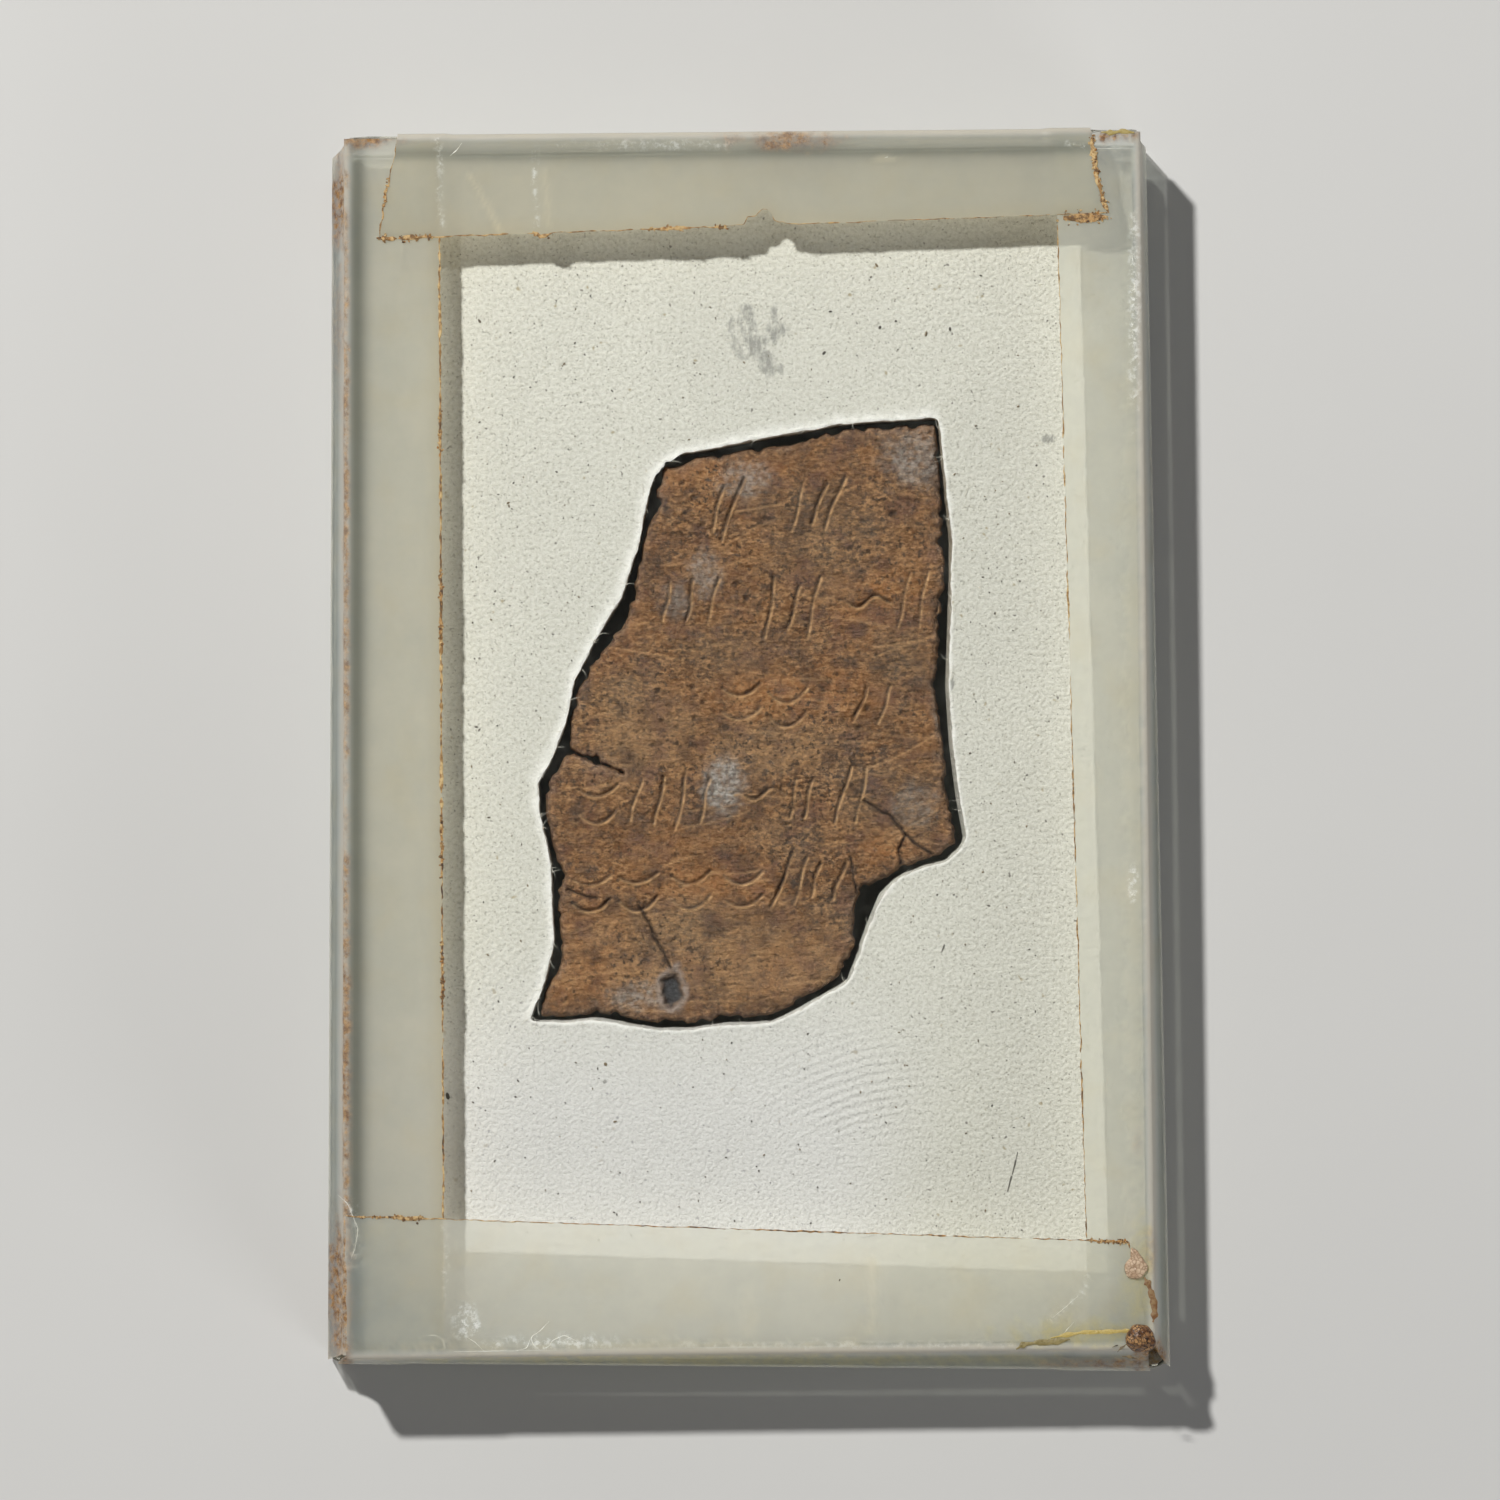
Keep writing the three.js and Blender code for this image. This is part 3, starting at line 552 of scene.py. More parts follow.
speck = lead.patches(0.30, 0.56, 0.64, 0, 0.9, detail=3, shift=27)
lead.coat(lead.math("MULTIPLY", speck, lead.ramp(pitted_share, 0, 1, 0.3, 1)), (0.028, 0.016, 0.010))
veil = lead.patches(0.5, 0.35, 0.60, 0.45, 1, detail=3, rough=0.6, shift=13)
crust_tone = lead.patches(0.36, 0.38, 0.62, detail=3, rough=0.6, shift=31)
crust_colour = lead.blend(crust_tone, (0.175, 0.150, 0.132), (0.50, 0.465, 0.425))
lead.coat(lead.math("MULTIPLY", lead.marked("crusted"), veil), crust_colour)
crumbs = lead.blend(lead.patches(0.3, 0.42, 0.58, shift=33), (0.14, 0.085, 0.065), (0.44, 0.285, 0.18))
lead.coat(lead.marked("rim"), crumbs, 0.85)
# Painted highlight: bright ochre on the lit lips of the scores and below the scratches
lead.coat(lead.marked("raised"), (0.80, 0.49, 0.24), 0.95)
lead.coat(lead.math("MULTIPLY", lead.marked("pit_edge"), veil), (0.36, 0.29, 0.25))
lead.coat(lead.marked("pit"), (0.045, 0.046, 0.050))
# Near black in the hollows: partly dark patina, partly painted shade
lead.coat(lead.marked("hollow_patina_and_shade"), (0.026, 0.015, 0.010))
gritty = lead.bump(lead.noise(0.36, detail=4, rough=0.75, shift=19), 0.34)
gritty = lead.bump(lead.noise(0.28, rough=0.6, stretch=(3.5, 1, 1), shift=23), 0.16, gritty)
lead_skin = lead.skin(lead.ramp(mottle, 0, 1, 0.55, 0.8), gritty, 0.4)
set_down("inscribed_fragment", lead_mesh, lead.done(lead_skin), ("lead_fragment",))

# Mount card
# Thick soft white blotting card, cut out with a knife by hand to the fragment's outline, so that
# the fragment can't slide. The knife leaned outwards and left a burr and loose fibres.
card_low, card_high = (corner.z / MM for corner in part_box("mount_card"))
card_face = card_high - 0.085
hole_head = evenly(outlines_at("mount_card", card_high - 0.02)[1], 0.14)
for _ in range(8):
    hole_head = 0.5 * hole_head + 0.25 * (np.roll(hole_head, 1, axis=0) + np.roll(hole_head, -1, axis=0))
hole_foot_loop = outlines_at("mount_card", card_low + 0.02)[1]
card_edge = outlines_at("mount_card", (card_low + card_high) / 2)[0]
card_middle = hole_head.mean(0)


def ray_to(outline, middle, angles):
    """Where rays from a middle point meet an outline."""
    after = np.roll(outline, -1, axis=0)
    found = []
    for angle in angles:
        ray = np.array([math.cos(angle), math.sin(angle)])
        side = after - outline
        across = ray[0] * side[:, 1] - ray[1] * side[:, 0]
        offset = outline - middle
        across = np.where(abs(across) < 1e-12, 1e-12, across)
        reach = (offset[:, 0] * side[:, 1] - offset[:, 1] * side[:, 0]) / across
        share = (offset[:, 0] * ray[1] - offset[:, 1] * ray[0]) / across
        hits = reach[(share >= -1e-9) & (share <= 1 + 1e-9) & (reach > 0)]
        found.append(middle + ray * hits.max())
    return np.array(found)


def smooth_step(value, low, high):
    share = np.clip((value - low) / (high - low), 0, 1)
    return share * share * (3 - 2 * share)


angles = np.unwrap(np.arctan2(*(hole_head - card_middle).T[::-1]))
outer = ray_to(card_edge, card_middle, np.maximum.accumulate(angles))
foot_loop = evenly(hole_foot_loop, 0.05)
foot_place, _ = nearest_on(foot_loop, *hole_head.T)
hole_foot = foot_loop[foot_place]
hole_away = -outward(hole_head)
upright = 0.7 * np.clip(-hole_away @ (-1, 0.3), 0, 1)
hole_head = hole_head + upright[:, None] * (hole_foot - hole_head)
torn_lip = (-5.6, 18.5)
rounded = bell(np.hypot(*(hole_head - torn_lip).T), 1.1)
hole_head = hole_head + rounded[:, None] * (0.42, -0.40)
x, y = hole_head.T
knife = 0.04 * grain(x, y, 0.7, 71) + (0.03 + 0.10 * rounded) * grain(x, y, 0.3, 72)
hole_head = hole_head - hole_away * (0.05 + knife)[:, None]
rim_steps = np.array([0, 0.02, 0.05, 0.1, 0.16, 0.23, 0.31, 0.4, 0.5, 0.62, 0.76, 0.92, 1.1, 1.3, 1.5])
far_rows = 62
reach = np.linalg.norm(outer - hole_head, axis=1)
ways = (outer - hole_head) / reach[:, None]
rows = [hole_head + ways * step for step in rim_steps]
rows += [hole_head + ways * (rim_steps[-1] + (reach - rim_steps[-1]) * share)[:, None]
         for share in np.linspace(0, 1, far_rows + 1)[1:]]
face_points = np.vstack(rows)
x, y = face_points.T
_, from_hole = nearest_on(hole_head, x, y)
card_relief = 0.018 * grain(x, y, 7, 73) + 0.008 * grain(x, y, 1.1, 74) + 0.006 * grain(x, y, 0.45, 75)
card_relief += 0.008 * grain(x / 6 + 0.8 * y, y - 0.9 * x, 0.5, 76) * (grain(x, y, 9, 77) > 0)
burr_wide = 0.10 + 0.07 * grain(x, y, 0.9, 78)
card_relief += 0.07 * bell(from_hole - 0.13, burr_wide) * (0.55 + 0.45 * grain(x, y, 0.6, 80))
# Lumps at the cut: middle, reach along x and y, and height
lumps = [((12.4, -7.05), (0.42, 0.2), 0.05), ((7.9, -11.4), (0.35, 0.5), 0.045),
         ((12.9, 2.7), (0.2, 0.12), 0.04)]
for middle, reach, tall in lumps:
    card_relief += tall * bell(oval(x, y, middle, reach), 1)
card_top = np.minimum(card_face + card_relief, card_high)
# Rows down the knife cut and back to the outer edge under the card: share of the way down
wall_rows = []
head_top = card_top[:len(hole_head)]
for down in (0.015, 0.05, 0.12, 0.22, 0.34, 0.47, 0.6, 0.73, 0.86, 1.0):
    line = hole_head + (hole_foot - hole_head) * down
    torn = 0.03 * grain(line[:, 0] + 7 * down, line[:, 1] - 7 * down, 0.22, 79) * (down < 1)
    line = line - hole_away * torn[:, None]
    wall_rows.append(np.column_stack([line, head_top + (card_low - head_top) * down]))
outer_top = card_top[-len(hole_head):]
side_rows = [np.column_stack([outer, outer_top + (card_low - outer_top) * down]) for down in (0.5, 1.0)]
under_rows = [np.column_stack([outer + (hole_foot - outer) * share, np.full(len(outer), card_low)])
              for share in np.linspace(0, 1, 14)[1:-1]]
count = len(hole_head)
band = [np.column_stack([row, card_top[place * count:(place + 1) * count]]) for place, row in enumerate(rows)]
loop_rows = wall_rows[::-1] + band + side_rows + under_rows
card_faces = rows_of_quads(len(loop_rows), count)
last = (len(loop_rows) - 1) * count
card_faces += [(last + place, last + (place + 1) % count, (place + 1) % count, place) for place in range(count)]
card_points = np.vstack(loop_rows)
x, y, z = card_points.T
on_face = z > card_face - 0.08
hole_place, from_hole = nearest_on(hole_head, x, y)
# The burr is painted near white as a highlight, reaching further on the side of the hole that faces the lamp
to_lamp = np.clip(outward(hole_head)[hole_place] @ (-0.6, 0.8), 0, 1)
burr_highlight_reach = 0.17 + 0.38 * to_lamp + 0.09 * grain(x, y, 0.8, 78)
scuffed, ridged = np.zeros(len(x)), np.zeros(len(x))
# Strokes of the scuff: path, half width and strength
scuff_strokes = [
    ([(-0.1, 27.7), (-0.1, 27.0), (0.2, 26.3), (0.1, 25.8)], 0.85, 0.52),
    ([(0.1, 25.8), (0.6, 25.1), (1.05, 24.5), (1.3, 23.9)], 0.95, 0.55),
    ([(-1.0, 27.0), (-1.1, 26.3), (-0.9, 25.5), (-0.3, 24.8)], 0.8, 0.45),
    ([(1.6, 27.8), (1.5, 27.1), (1.2, 26.5)], 0.5, 0.50),
    ([(2.1, 26.6), (1.8, 26.2), (1.3, 25.8), (0.6, 25.6)], 0.6, 0.56),
    ([(2.0, 24.0), (1.4, 24.2)], 0.6, 0.50)]
scuff_spots = [((18.8, 19.6), (0.6, 0.35)), ((12.6, 4.2), (0.35, 0.5)), ((-9.0, -20.7), (0.16, 0.14))]
for path, wide, strength in scuff_strokes:
    scuffed = np.maximum(scuffed, strength * bell(off_path(x, y, path, 3), wide))
for spot in scuff_spots:
    scuffed = np.maximum(scuffed, 0.8 * bell(oval(x, y, *spot), 1))
# Where fingers pressed: middle, reach along x and y, and strength
fingers = [((6.5, -21.0), (6.5, 5.0), 1), ((-14.5, 18.5), (4.0, 6.0), 0.3),
           ((18.0, -8.5), (3.4, 6.0), 0.3), ((-15.0, -15.0), (4.0, 6.5), 0.55)]
for middle, reach, strength in fingers:
    ridged = np.maximum(ridged, strength * np.clip(1 - oval(x, y, middle, reach), 0, 0.7))
# Painted shade: the card darkens within about a millimetre of its left and top edges, where the cover's edge
# and the tape fold shade it
painted_edge_shade = np.maximum(smooth_step(-23.7 - x, 0, 0.8), smooth_step(y - 36.5, 0, 0.8)) * (z > card_low + 0.3)
faded = smooth_step(-10 - y, 0, 14) * (1 - smooth_step(x, 4, 14))
card_marks = {"painted_edge_shade": painted_edge_shade, "faded": faded, "scuffed": scuffed * on_face, "ridged": ridged * on_face,
              "burr_highlight": bell(from_hole, burr_highlight_reach) * on_face * (0.75 + 0.25 * grain(x, y, 0.5, 80)),
              "cut": (z < card_face - 0.25) * (from_hole < 3) * np.clip(y / 20 + 0.3, 0, 1)}

card = Finish("soft white card")
wadding = card.noise(0.24, rough=0.55)
card.colour = card.blend(card.patches(9, 0.3, 0.7, detail=3), (0.665, 0.660, 0.606), (0.715, 0.709, 0.650))
card.coat(card.ramp(wadding, 0.42, 0.62, 0, 0.7), (0.560, 0.552, 0.490))
# Flecks in the card: size, how dense from and to, colour, and where in the noise
for size, low, high, dark, shift in ((0.30, 0.735, 0.77, (0.20, 0.19, 0.17), 2),
                                     (0.17, 0.73, 0.77, (0.28, 0.26, 0.22), 5),
                                     (0.6, 0.75, 0.81, (0.42, 0.37, 0.26), 9),
                                     (0.20, 0.64, 0.70, (0.42, 0.41, 0.36), 21)):
    card.coat(card.patches(size, low, high, 0, 0.85, detail=1, shift=shift), dark)
card.coat(card.marked("faded"), (0.78, 0.78, 0.86), 0.35)
brushed = card.noise(0.36, detail=5, rough=0.7, stretch=(1, 2.0, 1), shift=4)
brushed = card.math("ADD", brushed, card.marked("scuffed"))
card.coat(card.ramp(brushed, 0.85, 1.09, 0, 0.85), (0.31, 0.31, 0.29))
# Painted highlight: the burr near white, widest where it faces the lamp
card.coat(card.marked("burr_highlight"), (0.93, 0.925, 0.895))
# Painted shade along the card's left and top edges
card.coat(card.marked("painted_edge_shade"), (0.13, 0.13, 0.108), 0.85)
# Brown on the knife-cut walls, strongest towards the top of the hole
cut_wall_tone = card.patches(0.4, 0.35, 0.65, detail=4, rough=0.7, shift=12)
card.coat(card.marked("cut"), card.blend(cut_wall_tone, (0.20, 0.145, 0.09), (0.50, 0.43, 0.33)), 0.85)
tooth = card.bump(wadding, 0.11)
tooth = card.bump(card.noise(0.5, detail=1, shift=6), 0.02, tooth)
tooth = card.bump(card.noise(0.35, stretch=(5, 1, 1), shift=8), 0.015, tooth)
from_palm = card.node("ShaderNodeMapping", {
    "Vector": card.place, "Location": (-11.4, 39, 0), "Scale": (1, 1, 0)}).outputs[0]
whorl = card.node("ShaderNodeTexWave", {
    "Vector": from_palm, "Scale": 0.58, "Distortion": 3, "Detail": 2, "Detail Scale": 0.3,
    "Detail Roughness": 0.6}, wave_type="RINGS", rings_direction="Z").outputs["Fac"]
tooth = card.bump(card.math("MULTIPLY", whorl, card.marked("ridged")), 0.06, tooth)
card_skin = card.skin(card.ramp(wadding, 0.3, 0.7, 0.86, 0.98), tooth, 0.15)
make_piece("cut_out_card", card_points, card_faces, card.done(card_skin), ("mount_card",),
           card_marks, 60)


class Bundle:
    """Points and faces of many small closed bodies that make one piece."""

    def __init__(self):
        self.points, self.faces, self.marks, self.count = [], [], [], 0

    def add_rod(self, path, wide, tall, mark=0.0):
        """A closed rod along a path, with a half width and half height at each point."""
        path = np.asarray(path, float)
        wide, tall = np.broadcast_to(wide, len(path)), np.broadcast_to(tall, len(path))
        along = np.gradient(path, axis=0)
        along /= np.maximum(np.linalg.norm(along, axis=1, keepdims=True), 1e-9)
        side = np.cross(along, (0, 0, 1))
        side /= np.maximum(np.linalg.norm(side, axis=1, keepdims=True), 1e-9)
        up = np.cross(side, along)
        turns = np.linspace(0, 2 * math.pi, 6, endpoint=False)
        rings = [path + side * (wide * math.cos(t))[:, None] + up * (tall * math.sin(t))[:, None]
                 for t in turns]
        grid = np.stack(rings, axis=1).reshape(-1, 3)
        self.faces += rows_of_quads(len(path), 6, start=self.count)
        self.faces.append(tuple(range(self.count + 5, self.count - 1, -1)))
        end = self.count + (len(path) - 1) * 6
        self.faces.append(tuple(range(end, end + 6)))
        self.points.append(grid)
        self.marks.append(np.full(len(grid), mark))
        self.count += len(grid)

    def piece(self, name, finish, slot, stands_for=()):
        marks = {"kind": np.concatenate(self.marks)}
        return make_piece(name, np.vstack(self.points), self.faces, finish, stands_for, marks)


# Card fibres
# Hairs of the card's wadding that the knife pulled loose. They curl on its face along the cut
# and over the gap, held by the card they grew from.
fibres = Bundle()
pulled = np.random.default_rng(9)
lying = card_high - 0.03
fibre_count = 150
named_fibres = [(-6.6, 15.9, 1.6, 1.1), (13.2, 15.2, 0.5, 1.3), (13.4, 15.9, 0.9, 1.2), (12.4, 19.9, 1.2, 0.9),
                (-13.1, -16.6, 2.0, 0.9), (11.9, 20.2, 2.2, 0.7), (-5.2, 18.0, 2.4, 1.0)]
random_fibres = [(*hole_head[pulled.integers(count)], pulled.uniform(0, 6.3), pulled.uniform(0.15, 0.7))
                 for _ in range(fibre_count)]
for px, py, turn, length in named_fibres + random_fibres:
    share = np.linspace(0, 1, 9)
    curl = turn + pulled.uniform(-1.6, 1.6) * share
    steps = np.column_stack([np.cos(curl), np.sin(curl)]) * length / 8
    path = np.cumsum(steps, axis=0) + (px, py)
    heights = lying + 0.012 * np.sin(3 * share + px)
    fibres.add_rod(np.column_stack([path, heights]), 0.016 * (1.1 - share), 0.014 * (1.1 - share))
for path, half in (([(16.84, -25.1), (16.72, -25.6)], 0.022),
                   ([(16.72, -25.6), (16.6, -26.1), (16.5, -26.5)], 0.05),
                   ([(16.45, -26.6), (16.35, -27.0), (16.2, -27.6)], 0.048),
                   ([(12.25, -12.1), (12.05, -12.6)], 0.04),
                   ([(7.1, -30.5), (7.9, -30.3), (8.2, -30.6)], 0.018)):
    path = np.column_stack([np.array(path), np.full(len(path), lying)])
    fibres.add_rod(path, half * np.linspace(1, 0.5, len(path)), 0.02, 1.0)
hair = Finish("card fibre")
hair.colour = hair.blend(hair.noise(0.3), (0.78, 0.77, 0.72), (0.66, 0.62, 0.52))
hair.coat(hair.marked("kind"), (0.16, 0.155, 0.14))
hair_skin = hair.skin(hair.patches(0.1, 0, 1, 0.6, 0.9), specular=0.3)
fibres.piece("card_fibres", hair.done(hair_skin), "card")

# Dust specks
# Crumbs of grit, soot and rust shut in with the card. They stick to its face where they fell.
specks = Bundle()
strewn = np.random.default_rng(14)
speck_count = 520
named_specks = [(8.2, 26.6, 0.09), (4.7, 25.0, 0.08), (11.1, 26.2, 0.08), (12.6, 26.5, 0.07), (9.2, 27.0, 0.06),
                (5.1, 27.6, 0.06), (-18.9, -21.6, 0.12), (-9.0, -19.6, 0.10), (8.0, 30.5, 0.07),
                (-8.4, -23.2, 0.06), (-7.6, 4.9, 0.09), (-16.9, 27.0, 0.07), (-15.1, 15.6, 0.06)]
random_specks = [(strewn.uniform(-17.5, 19), strewn.uniform(-31, 30), strewn.uniform(0.018, 0.05))
                 for _ in range(speck_count)]
for px, py, radius in named_specks + random_specks:
    hole_gap = off_path(np.array([px]), np.array([py]), np.vstack([hole_head, hole_head[:1]]), 60)[0]
    if inside(np.array([[px]]), np.array([[py]]), hole_head)[0, 0] or hole_gap < 0.5:
        continue
    turn, long = strewn.uniform(0, 3.1), radius * strewn.uniform(1, 2.2)
    share = np.array([-1, -0.5, 0.5, 1])[:, None]
    path = np.array([px, py, card_face + 0.03]) + share * long * np.array([math.cos(turn), math.sin(turn), 0])
    specks.add_rod(path, radius * np.array([0.3, 1, 0.9, 0.3]), 0.035, strewn.random())
grit = Finish("dust specks")
rusty = grit.ramp(grit.marked("kind"), 0.55, 0.8)
grit.colour = grit.blend(rusty, (0.10, 0.095, 0.085), (0.34, 0.26, 0.15))
grit.coat(grit.noise(0.1), (0.06, 0.05, 0.04))
specks.piece("dust_specks", grit.done(grit.skin(grit.patches(0.2, 0, 1, 0.6, 0.9))), "card")

# Cover plate
# The front pane of the same old glass, cut by hand and not quite square. It lies on the card.
cover_finish = glass_finish("cover plate glass", (0.99, 0.995, 0.988))
glass_plate("cover_plate", "front_glass", cover_finish, 12)

# Tapes
# Four strips of clear tape, gone hazy and a little yellow. Each lies on the cover, turns down
# over both plates and ends on the back. The side strips went on first, the cross strips over them.
tape_thick = 0.06
film_gap = 0.015
tape_seat = 0.02
fold_round = 0.28
cover_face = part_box("front_glass")[1].z / MM
card_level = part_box("front_glass")[0].z / MM
back_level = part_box("back_glass")[1].z / MM
back_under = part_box("back_glass")[0].z / MM


def plate_corners(node):
    """The corners where a plate's four straight sides would meet, by name."""
    low, high = (corner.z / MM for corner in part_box(node))
    loop = outlines_at(node, (low + high) / 2 + 0.01)[0]
    along = np.roll(loop, -1, axis=0) - loop
    sides = {}
    for name, way in (("left", (0, -1)), ("bottom", (1, 0)), ("right", (0, 1)), ("top", (-1, 0))):
        place = np.argmax(along @ np.array(way))
        sides[name] = (loop[place], along[place])
    corners = {}
    for names in (("bottom", "left"), ("bottom", "right"), ("top", "left"), ("top", "right")):
        (here, first), (there, second) = (sides[name] for name in names)
        corners[" ".join(names)] = here + first * np.cross(there - here, second) / np.cross(first, second)
    return corners


cover_corner = plate_corners("front_glass")
back_corner = plate_corners("back_glass")


def side_of(corners, start, end):
    """A straight side: its first corner, its direction, the way out of the plate, its length."""
    line = corners[end] - corners[start]
    length = np.linalg.norm(line)
    along = line / length
    out = np.array([-along[1], along[0]])
    if out @ (corners[start] + line / 2) < 0:
        out = -out
    return corners[start] + out * tape_seat, along, out, length


# Rows across a strip: part, how many, from the free edge on the cover to the one on the back
strip_parts = [("cover", 30), ("cover fold", 5), ("cover side", 6), ("groove", 6), ("back side", 6),
               ("back fold", 5), ("back", 16)]
overlap_ramp = 0.6


class Strip:
    """One folded tape strip as two faces of points, with what is needed to cloud and soil its edges and to lay
    painted shade inside its fold.
    """

    def __init__(self, start, end, reach, back_reach, starts, ends, back_starts, back_ends, clouded, painted_fold_shade,
                 over=None, seed=0, bites=()):
        self.clouded, self.painted_fold_shade = clouded, painted_fold_shade
        self.cover, self.back = side_of(cover_corner, start, end), side_of(back_corner, start, end)
        length, back_length = self.cover[3], self.back[3]
        count = round(length / 0.26)
        share = np.linspace(0, 1, count)
        parts = [(part, t) for part, number in strip_parts
                 for t in np.linspace(0, 1, number, endpoint=part == "back")]
        kinds = np.array([part for part, _ in parts])
        t = np.array([value for _, value in parts])
        towards_back = np.select([kinds == "groove", np.isin(kinds, ["back side", "back fold", "back"])],
                                 [t, 1.0], 0.0)
        depth = np.select([kinds == "cover", kinds == "back"], [t, t], 0)
        insets = [np.where(kinds == "cover", np.interp(t, [0, 0.5, 1], cover_ends),
                           np.where(kinds == "back", np.interp(t, [0, 1], back_list[::-1]),
                                    cover_ends[-1] + (back_list[1] - cover_ends[-1]) * towards_back))
                  for cover_ends, back_list in ((starts, back_starts), (ends, back_ends))]
        rows = np.arange(len(parts))
        torn = 0.0 if over is None else 0.07
        insets[0] = insets[0] + torn * (1 + grain(rows * 1.0, 0 * rows, 2.3, seed + 1))
        insets[1] = insets[1] + torn * (1 + grain(rows * 1.0, 0 * rows, 1.7, seed + 2))
        whole = length + (back_length - length) * towards_back
        at = insets[0] + share[:, None] * (whole - insets[0] - insets[1])
        lift = np.zeros(at.shape)
        if over:
            near_gap = over[0][0] + (over[0][1] - over[0][0]) * towards_back + 0.3
            far_gap = over[1][0] + (over[1][1] - over[1][0]) * towards_back + 0.3
            lift = 1 - smooth_step(at, near_gap, near_gap + overlap_ramp) * (
                1 - smooth_step(at, whole - far_gap - overlap_ramp, whole - far_gap))
        free = reach[0] + (reach[1] - reach[0]) * at / whole
        free = free + 0.02 * grain(at, 0 * at, 0.8, seed + 3)
        for places, depths in bites:
            free = free - np.interp(at, places, depths)
        free_back = back_reach[0] + (back_reach[1] - back_reach[0]) * at / whole
        free_back = free_back + 0.04 * grain(at, 0 * at, 1.3, seed + 4)
        self.faces_of_film = []
        flat = np.isin(kinds, ["cover", "cover fold"])
        for rise in (0.0, tape_thick):
            thick = rise + lift * tape_thick
            radius = fold_round + thick
            turn = t * math.pi / 2
            out = np.select(
                [kinds == "cover", kinds == "cover fold", kinds == "groove", kinds == "back fold",
                 kinds == "back"],
                [-fold_round - (free - fold_round) * (1 - t), -fold_round + radius * np.sin(turn),
                 thick - 0.12 * np.sin(math.pi * t), -fold_round + radius * np.cos(turn),
                 -fold_round - (free_back - fold_round) * t], thick)
            height = np.select(
                [kinds == "cover", kinds == "cover fold", kinds == "cover side", kinds == "groove",
                 kinds == "back side", kinds == "back fold"],
                [cover_face + thick, cover_face - fold_round + radius * np.cos(turn),
                 cover_face - fold_round + (card_level - cover_face + fold_round) * t,
                 card_level + (back_level - card_level) * t,
                 back_level + (back_under + fold_round - back_level) * t,
                 back_under + fold_round - radius * np.sin(turn)], back_under - thick)
            on_cover = self.cover[0] + at[..., None] * self.cover[1] + out[..., None] * self.cover[2]
            on_back = self.back[0] + at[..., None] * self.back[1] + out[..., None] * self.back[2]
            flatwise = on_cover + (on_back - on_cover) * towards_back[:, None]
            ripple = 0.010 * (1 + grain(flatwise[..., 0], flatwise[..., 1], 1.7, seed + 5)) + 0.010 * np.clip(
                grain(flatwise[..., 0], flatwise[..., 1], 0.5, seed + 6), 0, 1)
            off_glass = film_gap * ((kinds == "cover") * 1.0 - (kinds == "back"))
            height = height + ripple * flat * (rise > 0) + off_glass
            self.faces_of_film.append(np.dstack([flatwise, height]))
        self.kinds, self.count, self.rows = kinds, count, len(parts)
        self.fold = self.faces_of_film[1][:, np.flatnonzero(kinds == "cover side")[0]]

    def edge(self, where):
        """A free edge of the outer face, as points: inner, start or end."""
        top = self.faces_of_film[1]
        on_cover = np.flatnonzero(self.kinds == "cover")
        return {"inner": top[:, 0], "start": top[0, on_cover], "end": top[-1, on_cover]}[where]

    def piece(self, name, finish, node, marker):
        sticky, outer_face = self.faces_of_film
        rows, count = self.rows, self.count
        points = np.vstack([sticky.reshape(-1, 3), outer_face.reshape(-1, 3)])
        far = rows * count
        quads = rows_of_quads(count, rows, closed=False)
        faces = [(a, d, c, b) for a, b, c, d in quads] + [tuple(far + p for p in quad) for quad in quads]
        rim = ([row for row in range(rows)] + [place * rows + rows - 1 for place in range(1, count)]
               + [(count - 1) * rows + row for row in range(rows - 2, -1, -1)]
               + [place * rows for place in range(count - 2, 0, -1)])
        faces += [(a, b, far + b, far + a) for a, b in zip(rim, rim[1:] + rim[:1])]
        made = make_piece(name, points, faces, finish, (node,), marker(points), 50)
        clean = bmesh.new()
        clean.from_mesh(made.data)
        bmesh.ops.recalc_face_normals(clean, faces=clean.faces)
        clean.to_mesh(made.data)
        clean.free()
        return made


left_strip = Strip("bottom left", "top left", (6.3, 5.9), (4.3, 4.9), (0.15,) * 3, (0.15,) * 3,
                   (0.15,) * 2, (0.15,) * 2, (0.85, 0.42), (0.85, 0.55, 1.0), None, 100)
right_strip = Strip("bottom right", "top right", (4.1, 5.3), (6.5, 5.4), (0.15,) * 3, (0.15,) * 3,
                    (0.15,) * 2, (0.15,) * 2, (0.06, 0.0), (0.80, 0.42, 0.1), None, 120)
torn_bite = ([23.7, 25.0, 25.1, 25.6, 26.0, 26.5, 26.9, 27.2, 27.6, 28.1],
             [0, 0.1, 0.55, 0.6, 1.05, 0.9, 0.05, 0.25, 0.05, 0])
step_bite = ([11.9, 12.1, 12.7, 12.9], [0, -0.28, -0.1, 0])
top_strip = Strip("top left", "top right", (6.5, 5.2), (4.2, 5.5), (2.0, 2.5, 3.2), (1.95, 2.65, 2.95),
                  (4.1, 3.7), (3.7, 3.3), (0.85, 0.60), (1.25, 0.42, 0.8), ((5.9, 4.9), (5.3, 5.4)), 140,
                  (torn_bite, step_bite))
bottom_strip = Strip("bottom left", "bottom right", (8.9, 6.6), (2.1, 4.3), (0.15,) * 3, (1.5, 0.8, 0.3),
                     (0.3, 0.5), (1.4, 1.1), (0.0, 0.14), (0.80, 0.42, 0.15), ((6.3, 4.3), (4.1, 6.5)), 160)

picture_middle, pixels_per_mm = 750, 16


def seen_at(*pixels):
    """Places on the cover's face, in millimetres, from places in the picture."""
    across, down = np.array(pixels, float).T
    shift_x, shift_y = 0.06, 0.10
    return np.column_stack([(across - picture_middle) / pixels_per_mm + shift_x,
                            (picture_middle - down) / pixels_per_mm + shift_y])


